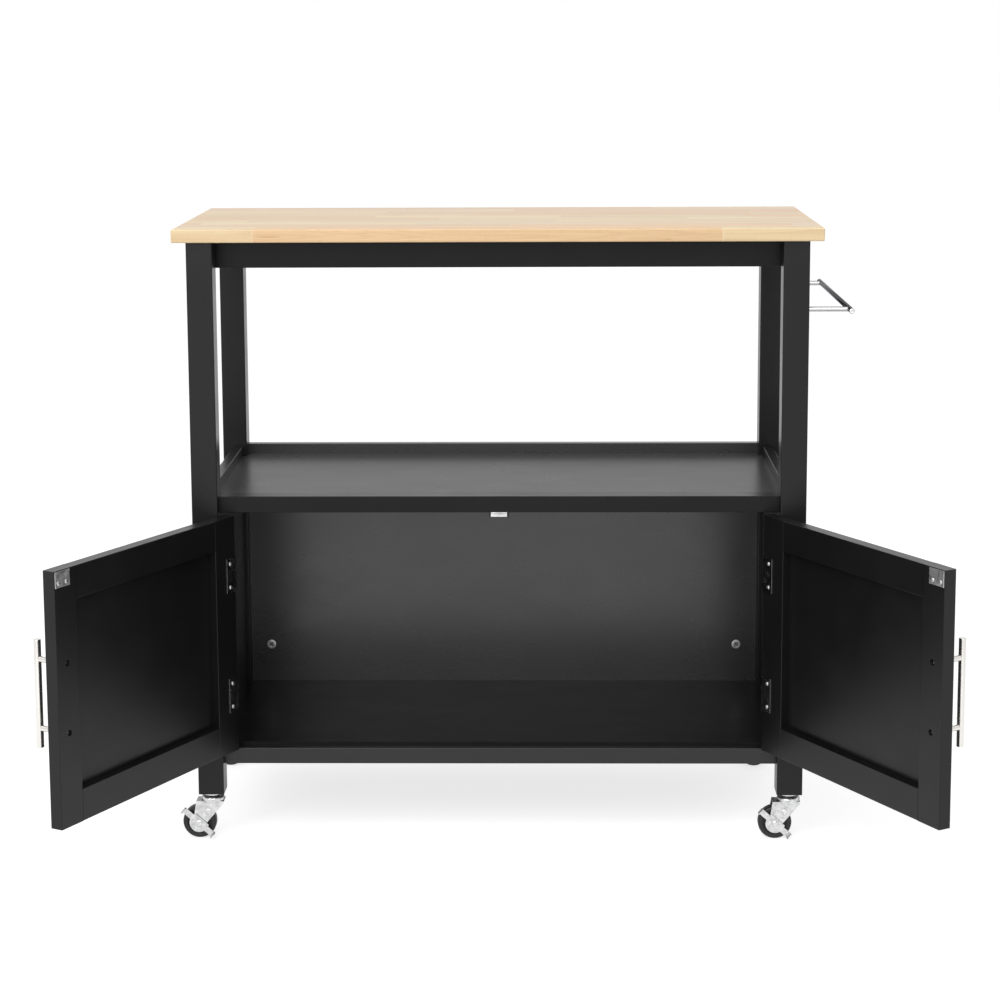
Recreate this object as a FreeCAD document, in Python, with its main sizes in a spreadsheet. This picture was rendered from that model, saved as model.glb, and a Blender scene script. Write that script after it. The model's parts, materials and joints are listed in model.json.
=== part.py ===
import FreeCAD, Part
import os
import re
import Sketcher

# Kitchen cart: four legs on swivel casters, a wooden worktop, an open shelf and a cabinet with two doors.
# X runs to the right, Y to the back and Z up, in mm. The origin is on the floor under the frame's centre.

doc = FreeCAD.newDocument("KitchenCart")
V = FreeCAD.Vector

# Driving dimensions: name, value, meaning
DRIVING = [
    ("height", 915, "floor to the top of the worktop"),
    ("frame_width", 898, "over the legs, left to right"),
    ("frame_depth", 387, "over the legs, front to back"),
    ("leg", 38, "side of a square leg"),
    ("leg_bottom", 71, "floor to the end of a leg"),
    ("leg_round", 2, "rounding of the legs' long edges"),
    ("top_thickness", 19, "worktop"),
    ("top_side", 19, "worktop past the legs at each side"),
    ("top_front", 13, "worktop past the legs at front and back"),
    ("top_round", 2, "rounding of the worktop's edges"),
    ("top_rail_height", 42, "rails under the worktop"),
    ("top_rail_recess", 47, "front top rail behind the legs' front faces"),
    ("board", 15, "thickness of panels, shelf and top rails"),
    ("edge_round", 1, "rounding of board and rail edges"),
    ("side_inset", 17, "side panel behind the legs' outer faces"),
    ("shelf_height", 520, "floor to the shelf's surface"),
    ("lip", 16, "side and back panels above the shelf"),
    ("rail_recess", 16, "front rails and doors behind the legs' front faces"),
    ("rail_depth", 26, "front rails, front to back"),
    ("rail_height", 24, "front rails"),
    ("floor_rail_bottom", 114, "floor to the lower front rail"),
    ("floor_step", 3.5, "cabinet floor above its front rail"),
    ("floor_thickness", 12, "cabinet floor board"),
    ("floor_setback", 20.5, "cabinet floor's front edge behind the rail's face"),
    ("door_gap", 2.4, "gap between a door and its leg"),
    ("door_clear", 2, "gap above and below a door"),
    ("door_thickness", 19, "stiles and rails of a door"),
    ("door_round", 0.8, "rounding of the stiles' and rails' long edges"),
    ("hinge_stile_width", 48, "stile that carries the hinges"),
    ("free_stile_width", 45, "stile that carries the handle"),
    ("door_rail_width", 45, "upper and lower rails of a door"),
    ("panel_thickness", 4, "door panel"),
    ("panel_recess", 3, "door panel behind the frame's outer face"),
    ("groove_depth", 8, "groove for the panel and the rails' tongues"),
    ("slack", 0.2, "side clearance of panel edges and tongues"),
    ("left_door_angle", 118, "left door as it stands, degrees"),
    ("right_door_angle", 120, "right door as it stands, degrees"),
    ("pin_over_edge", 1.2, "hinge pin inboard of the door's edge"),
    ("pin_proud", 3.3, "hinge pin in front of the door's face"),
    ("hinge_reach", 90, "hinge centre above and below the door's middle"),
    ("leaf_height", 51.5, "hinge leaf, along the pin"),
    ("leaf_width", 22, "hinge leaf on the door's inner face"),
    ("frame_leaf_width", 16, "hinge leaf on the leg"),
    ("leaf_thickness", 1, "hinge and strike plates"),
    ("knuckle_radius", 3, "hinge knuckle, outside"),
    ("hinge_pin_radius", 1.5, "hinge pin"),
    ("hinge_play", 0.3, "play between moving hinge parts"),
    ("pin_cap_radius", 2.6, "button at each end of a hinge pin"),
    ("pin_cap_height", 1.6, "button at each end of a hinge pin"),
    ("hinge_screw_reach", 17.5, "hinge screws above and below the hinge's centre"),
    ("screw_from_edge", 13.5, "hinge screws from the door's edge"),
    ("screw_head_radius", 3, "small screw"),
    ("screw_head_height", 1.3, "small screw"),
    ("screw_radius", 1.2, "small screw's shank"),
    ("screw_length", 11, "small screw's shank"),
    ("screw_slack", 0.2, "hole wider than the shank it takes"),
    ("strike_width", 30, "strike plate on a door"),
    ("strike_height", 22, "strike plate on a door"),
    ("strike_margin", 1.2, "strike plate from the door's edges"),
    ("strike_screw_spacing", 16, "between the strike plate's two screws"),
    ("strike_screw_drop", 5, "strike plate's screws below its middle"),
    ("handle_length", 150, "bar handle"),
    ("handle_radius", 5, "bar handle"),
    ("handle_centres", 96, "between the handle's two posts"),
    ("handle_post_radius", 4, "posts of the handle"),
    ("handle_standoff", 32, "handle bar's axis off the door's face"),
    ("handle_from_edge", 22, "handle bar from the door's free edge"),
    ("handle_screw_radius", 2, "machine screw through the stile"),
    ("handle_screw_depth", 14, "machine screw inside the post"),
    ("handle_head_radius", 4.2, "machine screw's head"),
    ("handle_head_height", 2.4, "machine screw's head"),
    ("handle_head_sink", 6, "counterbore for the machine screw's head"),
    ("cam_radius", 7.5, "cam fastener"),
    ("cam_depth", 11, "cam fastener in the back panel"),
    ("cam_from_leg", 31, "cam's axis from the leg's inner face"),
    ("cam_height", 202, "floor to the cam's axis"),
    ("cam_slot", 9, "screwdriver cross in the cam"),
    ("cam_slot_width", 1.6, "screwdriver cross in the cam"),
    ("cam_bolt_radius", 3, "bolt from the leg to the cam"),
    ("cam_bolt_in_leg", 12, "bolt inside the leg"),
    ("catch_width", 29, "magnetic catch case"),
    ("catch_height", 12, "magnetic catch case below the rail"),
    ("catch_depth", 24, "magnetic catch case"),
    ("catch_body_depth", 20, "catch case behind the front rail"),
    ("catch_setback", 22, "catch case behind the front rail's face"),
    ("catch_ear", 7, "ears of the catch case, each side"),
    ("catch_ear_height", 2, "ears of the catch case"),
    ("pole_width", 24, "pole plate of the catch"),
    ("pole_height", 10, "pole plate of the catch"),
    ("pole_proud", 1.2, "pole plate out of the case"),
    ("pole_in_case", 14, "pole plate inside the case"),
    ("towel_drop", 120, "towel bar's axis below the top of the worktop"),
    ("towel_out", 60, "towel bar's axis from the legs' outer faces"),
    ("towel_radius", 4, "towel bar"),
    ("towel_post_radius", 3.5, "posts of the towel bar"),
    ("towel_post_in_leg", 14, "post inside the leg"),
    ("towel_past_post", 28, "towel bar past each post"),
    ("top_screw_radius", 2, "screw that holds the worktop"),
    ("top_screw_head_radius", 4, "screw that holds the worktop"),
    ("top_screw_head_height", 2.4, "screw that holds the worktop"),
    ("top_screw_in_top", 12, "screw inside the worktop"),
    ("top_screw_offset", 300, "worktop screws left and right of the middle"),
    ("wheel_radius", 25, "caster wheel"),
    ("wheel_width", 17, "caster wheel"),
    ("wheel_round", 4, "rounding of the tread's shoulders"),
    ("wheel_core_radius", 17.5, "recess in the wheel's side"),
    ("wheel_recess", 2, "recess in the wheel's side"),
    ("hub_radius", 7, "wheel hub"),
    ("trail", 20, "wheel axle behind the stem's axis"),
    ("sheet", 1.6, "sheet steel of fork and brake"),
    ("fork_gap", 20, "between the fork's cheeks"),
    ("fork_top", 58, "floor to the fork's top plate"),
    ("fork_heel", 17, "fork's top plate ahead of the stem's axis"),
    ("fork_tail", 4, "fork's top plate behind the axle"),
    ("fork_heel_drop", 2.5, "depth of the cheek at the heel"),
    ("boss_radius", 9, "rounded end of the cheek round the axle"),
    ("cheek_in", 7.6, "cheek's front corner from the axle"),
    ("cheek_drop", 4.7, "cheek's front corner below the axle"),
    ("cheek_out", 8.6, "cheek's rear corner from the axle"),
    ("cheek_rise", 3, "cheek's rear corner above the axle"),
    ("race_radius", 17, "ball race cup, outside"),
    ("race_height", 6.6, "ball race cup above the top plate"),
    ("race_round", 3, "rounding of the cup"),
    ("running", 0.08, "play of a pin in the bore that turns on it"),
    ("axle_radius", 3, "wheel axle"),
    ("axle_head_radius", 5, "wheel axle's heads"),
    ("axle_head", 1.6, "wheel axle's heads"),
    ("play", 0.4, "play of wheel, lever and heads"),
    ("stem_radius", 4.5, "caster stem"),
    ("stem_in_leg", 38, "caster stem inside the leg"),
    ("stem_slack", 0.3, "hole in the leg wider than the stem"),
    ("flange_radius", 14, "caster stem's flange under the leg"),
    ("flange_height", 4, "caster stem's flange under the leg"),
    ("neck_radius", 9, "neck between flange and fork"),
    ("stem_head_radius", 8, "riveted end of the stem"),
    ("stem_head_height", 2, "riveted end of the stem"),
    ("lever_radius", 14.5, "brake lever's plate round the axle"),
    ("lever_crown", 7.5, "straight upper edge of that plate above the axle"),
    ("lever_width", 9, "brake lever's arms"),
    ("lever_up", 31, "upper arm"),
    ("lever_down", 28, "lower arm"),
    ("lever_tab", 9, "tab bent outward at each arm's end"),
    ("lever_angle", 42, "slope of the brake lever, degrees"),
]

# Derived dimensions
DERIVED = [
    ("inner", "frame_width / 2 - leg"),
    ("front", "-frame_depth / 2"),
    ("back", "frame_depth / 2"),
    ("top_underside", "height - top_thickness"),
    ("top_rail_bottom", "top_underside - top_rail_height"),
    ("panel_out", "frame_width / 2 - side_inset"),
    ("panel_in", "panel_out - board"),
    ("leg_step", "panel_in - inner"),
    ("bay_depth", "frame_depth - 2 * leg"),
    ("shelf_rail_bottom", "shelf_height - rail_height"),
    ("floor_rail_top", "floor_rail_bottom + rail_height"),
    ("floor_top", "floor_rail_top + floor_step"),
    ("panel_top", "shelf_height + lip"),
    ("door_bottom", "floor_rail_top + door_clear"),
    ("door_height", "shelf_rail_bottom - door_clear - door_bottom"),
    ("door_middle", "door_bottom + door_height / 2"),
    ("door_width", "inner - 1.5 * door_gap"),
    ("door_opening", "door_width - hinge_stile_width - free_stile_width"),
    ("pin_x", "inner - door_gap - pin_over_edge"),
    ("pin_y", "front + rail_recess - pin_proud"),
    ("knuckle", "leaf_height / 3"),
    ("stem_x", "frame_width / 2 - leg / 2"),
    ("stem_y", "frame_depth / 2 - leg / 2"),
    ("fork_width", "fork_gap + 2 * sheet"),
    ("race_top", "fork_top + race_height"),
    ("axle_x", "-trail"),
    ("lever_y", "-fork_width / 2 - play - sheet"),
    ("towel_height", "height - towel_drop"),
]

NAMES = {row[0] for row in DRIVING + DERIVED}
WORD = re.compile(r"[a-z]+(?:_[a-z]+)*")


def link(text):
    """Turn the dimension names in a formula into references to the sheet."""
    return WORD.sub(lambda m: "Dims." + m.group(0) if m.group(0) in NAMES else m.group(0), str(text))


def make_sheet():
    sheet = doc.addObject("Spreadsheet::Sheet", "Dims")
    row = 1
    for name, value, meaning in DRIVING:
        sheet.set("A%d" % row, name)
        sheet.set("B%d" % row, str(value))
        sheet.set("C%d" % row, meaning)
        sheet.setAlias("B%d" % row, name)
        row += 1
    for name, formula in DERIVED:
        sheet.set("A%d" % row, name)
        sheet.set("B%d" % row, "=" + formula)
        sheet.setAlias("B%d" % row, name)
        row += 1
    doc.recompute()
    return sheet


make_sheet()

# Turns that lay a cylinder, which is made along Z, along another axis
ALONG = {
    "X": FreeCAD.Rotation(V(0, 1, 0), 90),
    "Y": FreeCAD.Rotation(V(1, 0, 0), -90),
    "Z": FreeCAD.Rotation(),
}


def bind(obj, **sizes):
    for prop, text in sizes.items():
        obj.setExpression(prop, link(text))
    return obj


def place(obj, at, rotation=None, angle=None):
    if rotation is not None:
        obj.Placement = FreeCAD.Placement(V(0, 0, 0), rotation)
    for axis, text in zip("xyz", at):
        if str(text) != "0":
            obj.setExpression("Placement.Base." + axis, link(text))
    if angle is not None:
        obj.setExpression("Placement.Rotation.Angle", link(angle))
    return obj


# Part primitives and booleans, for groups of separate solids
def box(label, size, at):
    obj = doc.addObject("Part::Box", label)
    bind(obj, Length=size[0], Width=size[1], Height=size[2])
    return place(obj, at)


def rod(label, radius, length, at, axis="Z"):
    obj = doc.addObject("Part::Cylinder", label)
    bind(obj, Radius=radius, Height=length)
    return place(obj, at, ALONG[axis])


def fuse(label, shapes):
    obj = doc.addObject("Part::MultiFuse", label)
    obj.Shapes = shapes
    return obj


def cut(label, base, tools):
    obj = doc.addObject("Part::Cut", label)
    obj.Base = base
    obj.Tool = tools[0] if len(tools) == 1 else fuse(label + "_tools", tools)
    return obj


def group(label, solids):
    obj = doc.addObject("Part::Compound", label)
    obj.Links = solids
    obj.Label = label
    return obj


# PartDesign bodies, for single solids
def body(label, at=(0, 0, 0), rotation=None, angle=None):
    part = doc.addObject("PartDesign::Body", label)
    part.Label = label
    return place(part, at, rotation, angle)


def add_box(part, size, at=(0, 0, 0), kind="Additive"):
    obj = part.newObject("PartDesign::%sBox" % kind, part.Name + "_box")
    bind(obj, Length=size[0], Width=size[1], Height=size[2])
    return place(obj, at)


def cut_box(part, size, at=(0, 0, 0)):
    return add_box(part, size, at, "Subtractive")


def add_rod(part, radius, length, at=(0, 0, 0), axis="Z", kind="Additive"):
    obj = part.newObject("PartDesign::%sCylinder" % kind, part.Name + "_rod")
    bind(obj, Radius=radius, Height=length)
    return place(obj, at, ALONG[axis])


def cut_rod(part, radius, length, at=(0, 0, 0), axis="Z"):
    return add_rod(part, radius, length, at, axis, "Subtractive")


def runs_along(edge, axis):
    """True for a straight edge parallel to the axis; every edge for "all"; circles for "circle"."""
    if axis == "all":
        return True
    if edge.Curve.TypeId == "Part::GeomCircle":
        return axis == "circle"
    if axis == "circle":
        return False
    run = edge.Vertexes[-1].Point - edge.Vertexes[0].Point
    return abs(run.normalize().dot(V(*(float(axis == a) for a in "XYZ")))) > 0.999


def round_edges(part, radius, axis, test=None):
    """Round the tip's edges along one axis, or those of them that pass the test."""
    doc.recompute()
    base = part.Tip
    names = []
    for number, edge in enumerate(base.Shape.Edges, 1):
        if runs_along(edge, axis) and (test is None or test(edge.CenterOfMass)):
            names.append("Edge%d" % number)
    obj = part.newObject("PartDesign::Fillet", part.Name + "_round")
    obj.Base = (base, names)
    bind(obj, Radius=radius)
    return obj


def board_part(label, size, at, axis="X", rounding="edge_round"):
    part = body(label, at)
    add_box(part, size)
    round_edges(part, rounding, axis)
    return part


# Worktop
def make_worktop():
    part = body("worktop", ("-frame_width / 2 - top_side", "front - top_front", "top_underside"))
    add_box(part, ("frame_width + 2 * top_side", "frame_depth + 2 * top_front", "top_thickness"))
    round_edges(part, "top_round", "all")
    for x, y in top_screw_places():
        at = ("%s + frame_width / 2 + top_side" % x, "%s - front + top_front" % y, 0)
        cut_rod(part, "top_screw_radius + screw_slack", "top_screw_in_top + slack", at)
    return part


def top_screw_places():
    front_y = "(front + top_rail_recess + board / 2)"
    back_y = "(back - board / 2)"
    side_x = "(panel_in + board / 2)"
    places = [(x, y) for y in (front_y, back_y) for x in ("(-top_screw_offset)", "(0 * board)", "(top_screw_offset)")]
    return places + [("(-%s)" % side_x, "(0 * board)"), (side_x, "(0 * board)")]


def make_top_screws():
    screws = []
    for number, (x, y) in enumerate(top_screw_places()):
        head = rod("top_screw_head%d" % number, "top_screw_head_radius", "top_screw_head_height",
                   (x, y, "top_rail_bottom"))
        shank = rod("top_screw_shank%d" % number, "top_screw_radius", "top_rail_height + top_screw_in_top",
                    (x, y, "top_rail_bottom"))
        screws.append(fuse("top_screw%d" % number, [head, shank]))
    return group("worktop_screws", screws)


def drill_for_top_screws(part, places):
    """Clearance hole and head recess, for places given in the rail's own frame."""
    for x, y in places:
        cut_rod(part, "top_screw_radius + screw_slack", "top_rail_height", (x, y, 0))
        cut_rod(part, "top_screw_head_radius + screw_slack", "top_screw_head_height + slack", (x, y, 0))


# Legs
def make_leg(label, side, end):
    """side is -1 for left and 1 for right, end is -1 for front and 1 for rear."""
    x = "-frame_width / 2" if side < 0 else "frame_width / 2 - leg"
    y = "front" if end < 0 else "back - leg"
    part = body(label, (x, y, "leg_bottom"))
    add_box(part, ("leg", "leg", "top_underside - leg_bottom"))
    round_edges(part, "leg_round", "Z")
    cut_rod(part, "stem_radius + stem_slack", "stem_in_leg + stem_slack", ("leg / 2", "leg / 2", 0))
    if end < 0:
        drill_leg_for_hinges(part, side)
    else:
        drill_leg_for_cam_bolt(part, side)
    if side > 0:
        at = ("leg - towel_post_in_leg - slack", "leg / 2", "towel_height - leg_bottom")
        cut_rod(part, "towel_post_radius + slack", "towel_post_in_leg + slack", at, "X")
    return part


def drill_leg_for_hinges(part, side):
    x = "leg - screw_length" if side < 0 else "0"
    for z in hinge_screw_heights():
        at = (x, "rail_recess + frame_leaf_width / 2", z + " - leg_bottom")
        cut_rod(part, "screw_radius + screw_slack", "screw_length", at, "X")


def drill_leg_for_cam_bolt(part, side):
    x = "leg - cam_bolt_in_leg" if side < 0 else "0"
    at = (x, "leg - board / 2", "cam_height - leg_bottom")
    cut_rod(part, "cam_bolt_radius + screw_slack", "cam_bolt_in_leg", at, "X")


# Rails and panels
def make_front_top_rail():
    part = board_part("top_rail_front", ("2 * panel_in", "board", "top_rail_height"),
                      ("-panel_in", "front + top_rail_recess", "top_rail_bottom"))
    drill_for_top_screws(part, [("panel_in + %s" % x, "board / 2")
                                for x in ("(-top_screw_offset)", "(0 * board)", "top_screw_offset")])
    return part


def make_rear_top_rail():
    part = board_part("top_rail_rear", ("2 * inner", "board", "top_rail_height"),
                      ("-inner", "back - board", "top_rail_bottom"))
    drill_for_top_screws(part, [("inner + %s" % x, "board / 2")
                                for x in ("(-top_screw_offset)", "(0 * board)", "top_screw_offset")])
    return part


def make_side_top_rail(label, side):
    x = "-panel_out" if side < 0 else "panel_in"
    part = board_part(label, ("board", "bay_depth", "top_rail_height"), (x, "front + leg", "top_rail_bottom"), "Y")
    drill_for_top_screws(part, [("board / 2", "bay_depth / 2")])
    return part


def make_side_panel(label, side):
    x = "-panel_out" if side < 0 else "panel_in"
    size = ("board", "bay_depth", "panel_top - floor_rail_bottom")
    return board_part(label, size, (x, "front + leg", "floor_rail_bottom"), "Y")


def make_back_panel():
    part = board_part("back_panel", ("2 * inner", "board", "panel_top - floor_rail_bottom"),
                      ("-inner", "back - board", "floor_rail_bottom"))
    z = "cam_height - floor_rail_bottom"
    for x in ("cam_from_leg", "2 * inner - cam_from_leg"):
        cut_rod(part, "cam_radius + slack", "cam_depth", (x, 0, z), "Y")
    for x in ("0", "2 * inner - cam_from_leg"):
        cut_rod(part, "cam_bolt_radius + slack", "cam_from_leg", (x, "board / 2", z), "X")
    return part


def cut_corners(part, front_depth, back_depth, length):
    """Notches that let a board reach between the legs, which stand in front of the side panels."""
    height = "board"
    for x in ("0", "2 * panel_in - leg_step"):
        cut_box(part, ("leg_step", front_depth, height), (x, 0, 0))
        cut_box(part, ("leg_step", back_depth, height), (x, length + " - " + back_depth, 0))


def make_shelf_board():
    """Shelf between the front rail and the back panel."""
    front_edge = "rail_recess + rail_depth"
    length = "(frame_depth - board - rail_recess - rail_depth)"
    part = body("shelf_board", ("-panel_in", "front + " + front_edge, "shelf_height - board"))
    add_box(part, ("2 * panel_in", length, "board"))
    for x in ("0", "2 * panel_in - leg_step"):
        cut_box(part, ("leg_step", "leg - board", "board"), (x, length + " - leg + board", 0))
    for side in (-1, 1):
        at = ("panel_in + %d * (catch_width / 2 + catch_ear / 2)" % side, "catch_body_depth / 2", 0)
        cut_rod(part, "screw_radius + screw_slack", "screw_length", at)
    return part


def make_shelf_front_rail():
    return board_part("shelf_front_rail", ("2 * inner", "rail_depth", "rail_height"),
                      ("-inner", "front + rail_recess", "shelf_rail_bottom"))


def make_floor_board():
    length = "(frame_depth - board - rail_recess - floor_setback)"
    part = body("floor_board", ("-panel_in", "front + rail_recess + floor_setback", "floor_top - floor_thickness"))
    add_box(part, ("2 * panel_in", length, "floor_thickness"))
    cut_corners(part, "(leg - rail_recess - floor_setback)", "(leg - board)", length)
    return part


def make_floor_front_rail():
    """Lower front rail with a rabbet that carries the cabinet floor."""
    part = board_part("floor_front_rail", ("2 * inner", "rail_depth", "rail_height"),
                      ("-inner", "front + rail_recess", "floor_rail_bottom"))
    drop = "(floor_thickness - floor_step)"
    cut_box(part, ("2 * inner", "rail_depth - floor_setback", drop), (0, "floor_setback", "rail_height - " + drop))
    return part


# Cam fasteners in the back panel
def make_cam_locks():
    cams = []
    for name, side in (("left", -1), ("right", 1)):
        x = "%d * (inner - cam_from_leg)" % side
        y = "back - board"
        disc = rod("cam_disc_" + name, "cam_radius", "cam_depth - slack", (x, y, "cam_height"), "Y")
        depth = "2 * cam_slot_width"
        across = box("cam_slot_x_" + name, ("cam_slot", depth, "cam_slot_width"),
                     (x + " - cam_slot / 2", y + " - cam_slot_width", "cam_height - cam_slot_width / 2"))
        upright = box("cam_slot_z_" + name, ("cam_slot_width", depth, "cam_slot"),
                      (x + " - cam_slot_width / 2", y + " - cam_slot_width", "cam_height - cam_slot / 2"))
        start = x + " - cam_radius" if side < 0 else x
        seat = rod("cam_seat_" + name, "cam_bolt_radius", "cam_radius", (start, "back - board / 2", "cam_height"), "X")
        cams.append(cut("cam_" + name, disc, [across, upright, seat]))
    return group("cam_locks", cams)


def make_cam_bolts():
    bolts = []
    for name, side in (("left", -1), ("right", 1)):
        length = "(cam_bolt_in_leg + cam_from_leg - cam_radius / 2)"
        start = "-inner - cam_bolt_in_leg" if side < 0 else "inner + cam_bolt_in_leg - " + length
        bolts.append(rod("cam_bolt_" + name, "cam_bolt_radius - slack", length,
                         (start, "back - board / 2", "cam_height"), "X"))
    return group("cam_bolts", bolts)


# Towel bar on the right side
def make_towel_bar():
    part = body("towel_bar", ("frame_width / 2", 0, "towel_height"))
    length = "(2 * stem_y + 2 * towel_past_post)"
    add_rod(part, "towel_radius", length, ("towel_out", "-stem_y - towel_past_post", 0), "Y")
    round_edges(part, "towel_radius / 2", "circle")
    for y in ("-stem_y", "stem_y"):
        add_rod(part, "towel_post_radius", "towel_out + towel_post_in_leg", ("-towel_post_in_leg", y, 0), "X")
    return part


# Magnetic catch behind the shelf's front rail, with its nose under the rail
def catch_y():
    return "front + rail_recess + catch_setback"


def make_catch_case():
    """Case with a nose under the rail, a body up to the shelf board and two ears screwed to the board."""
    part = body("catch_case", ("-catch_width / 2", catch_y(), "shelf_rail_bottom - catch_height"))
    add_box(part, ("catch_width", "catch_depth", "catch_height"))
    behind = "(rail_depth - catch_setback)"
    top = "(catch_height + rail_height - board)"
    add_box(part, ("catch_width", "catch_body_depth", top), (0, behind, 0))
    for x in ("-catch_ear", "catch_width"):
        add_box(part, ("catch_ear", "catch_body_depth", "catch_ear_height"), (x, behind, top + " - catch_ear_height"))
    for x in ("-catch_ear / 2", "catch_width + catch_ear / 2"):
        cut_rod(part, "screw_radius + screw_slack", "catch_ear_height",
                (x, behind + " + catch_body_depth / 2", top + " - catch_ear_height"))
    at = ("catch_width / 2 - pole_width / 2", 0, "catch_height / 2 - pole_height / 2")
    cut_box(part, ("pole_width", "pole_in_case", "pole_height"), at)
    return part


def make_catch_poles():
    part = body("catch_poles", ("-pole_width / 2", catch_y() + " - pole_proud",
                                "shelf_rail_bottom - catch_height / 2 - pole_height / 2"))
    add_box(part, ("pole_width", "pole_proud + pole_in_case", "pole_height"))
    at = (0, 0, "pole_height / 2 - leaf_thickness / 2")
    cut_box(part, ("pole_width", "pole_proud", "leaf_thickness"), at)
    return part


# Hinges
def hinge_middles():
    return ("door_middle - hinge_reach", "door_middle + hinge_reach")


def hinge_screw_heights():
    return [middle + sign for middle in hinge_middles() for sign in (" - hinge_screw_reach", " + hinge_screw_reach")]


def make_frame_leaves():
    """Leaf on each front leg: a plate, two end knuckles on the pin and the straps between them."""
    leaves = []
    for name, side in (("left", -1), ("right", 1)):
        for level, middle in zip(("low", "high"), hinge_middles()):
            leaves.append(make_frame_leaf(name + "_" + level, side, middle))
    return group("hinge_frame_leaves", leaves)


def make_frame_leaf(name, side, middle):
    low = middle + " - leaf_height / 2"
    x = "-inner" if side < 0 else "inner - leaf_thickness"
    solids = [box("leaf_plate_" + name, ("leaf_thickness", "frame_leaf_width", "leaf_height"),
                  (x, "pin_y + pin_proud + hinge_play", low))]
    tools = []
    for end, z in (("a", low), ("b", middle + " + knuckle / 2 + hinge_play")):
        length = "knuckle - hinge_play"
        solids.append(box("leaf_strap_%s_%s" % (name, end),
                          ("leaf_thickness", "pin_proud + 2 * hinge_play", length), (x, "pin_y", z)))
        pin_at = ("%d * pin_x" % side, "pin_y", z)
        solids.append(rod("leaf_knuckle_%s_%s" % (name, end), "knuckle_radius", length, pin_at))
        tools.append(rod("leaf_bore_%s_%s" % (name, end), "hinge_pin_radius", length, pin_at))
    for number, z in enumerate((middle + " - hinge_screw_reach", middle + " + hinge_screw_reach")):
        at = (x, "front + rail_recess + frame_leaf_width / 2", z)
        tools.append(rod("leaf_hole_%s_%d" % (name, number), "screw_head_radius", "leaf_thickness", at, "X"))
    return cut("frame_leaf_" + name, fuse("frame_leaf_solid_" + name, solids), tools)


def make_hinge_pins():
    pins = []
    for name, side in (("left", -1), ("right", 1)):
        for level, middle in zip(("low", "high"), hinge_middles()):
            tag = name + "_" + level
            x = "%d * pin_x" % side
            low = middle + " - leaf_height / 2"
            pin = rod("pin_" + tag, "hinge_pin_radius", "leaf_height", (x, "pin_y", low))
            foot = rod("pin_foot_" + tag, "pin_cap_radius", "pin_cap_height",
                       (x, "pin_y", low + " - pin_cap_height"))
            head = rod("pin_head_" + tag, "pin_cap_radius", "pin_cap_height",
                       (x, "pin_y", middle + " + leaf_height / 2"))
            pins.append(fuse("hinge_pin_" + tag, [pin, foot, head]))
    return group("hinge_pins", pins)


def make_frame_screws():
    """Flush screws of the hinge leaves on the legs, and the two screws of the catch."""
    screws = []
    for name, side in (("left", -1), ("right", 1)):
        for number, z in enumerate(hinge_screw_heights()):
            y = "front + rail_recess + frame_leaf_width / 2"
            tag = "%s%d" % (name, number)
            head_x = "-inner" if side < 0 else "inner - leaf_thickness + slack / 2"
            shank_x = "-inner - screw_length + slack" if side < 0 else "inner - leaf_thickness / 2"
            head = rod("frame_screw_head_" + tag, "screw_head_radius - slack", "leaf_thickness - slack / 2",
                       (head_x, y, z), "X")
            shank = rod("frame_screw_shank_" + tag, "screw_radius", "screw_length - slack + leaf_thickness / 2",
                        (shank_x, y, z), "X")
            screws.append(fuse("frame_screw_" + tag, [head, shank]))
    for name, side in (("left", -1), ("right", 1)):
        x = "%d * (catch_width / 2 + catch_ear / 2)" % side
        y = "front + rail_recess + rail_depth + catch_body_depth / 2"
        z = "shelf_height - board - catch_ear_height - leaf_thickness + slack / 2"
        head = rod("catch_screw_head_" + name, "screw_head_radius - slack", "leaf_thickness - slack / 2", (x, y, z))
        shank = rod("catch_screw_shank_" + name, "screw_radius", "screw_length - slack + leaf_thickness / 2",
                    (x, y, z))
        screws.append(fuse("catch_screw_" + name, [head, shank]))
    return group("frame_screws", screws)


# Doors
# Each door is drawn shut, in a frame whose Z axis is its hinge pin, and then turned open about the pin.
# s runs from the hinge edge toward the free edge, n from the outer face toward the inner face.
class Door:
    def __init__(self, name, side):
        self.name = name
        self.side = side
        self.at = ("%d * pin_x" % side, "pin_y", 0)
        self.turn = FreeCAD.Rotation(V(0, 0, side), 45)
        self.angle = name + "_door_angle"

    def s(self, start, width="0"):
        """Left-hand end, along X, of something that runs from start over width."""
        if self.side < 0:
            return "(%s) - pin_over_edge" % start
        return "pin_over_edge - (%s) - (%s)" % (start, width)

    def n(self, start):
        return "(%s) + pin_proud" % start

    def body(self, label):
        return body("%s_%s" % (label, self.name), self.at, self.turn, self.angle)

    def group(self, label, solids):
        obj = group("%s_%s" % (label, self.name), solids)
        return place(obj, self.at, self.turn, self.angle)

    def tag(self, label):
        return "%s_%s" % (label, self.name)


def panel_layer():
    """Distance from the outer face to the middle of the panel."""
    return "(panel_recess + panel_thickness / 2)"


def make_stile(door, label, start, width, groove_at):
    part = door.body(label)
    add_box(part, (width, "door_thickness", "door_height"), (door.s(start, width), door.n("0"), "door_bottom"))
    round_edges(part, "door_round", "Z")
    cut_box(part, ("groove_depth", "panel_thickness + 2 * slack", "door_height"),
            (door.s(groove_at, "groove_depth"), door.n("panel_recess - slack"), "door_bottom"))
    return part


def make_hinge_stile(door):
    part = make_stile(door, "door_hinge_stile", "0", "hinge_stile_width", "hinge_stile_width - groove_depth")
    for z in hinge_screw_heights():
        at = (door.s("screw_from_edge"), door.n("door_thickness - screw_length"), z)
        cut_rod(part, "screw_radius + screw_slack", "screw_length", at, "Y")
    return part


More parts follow.
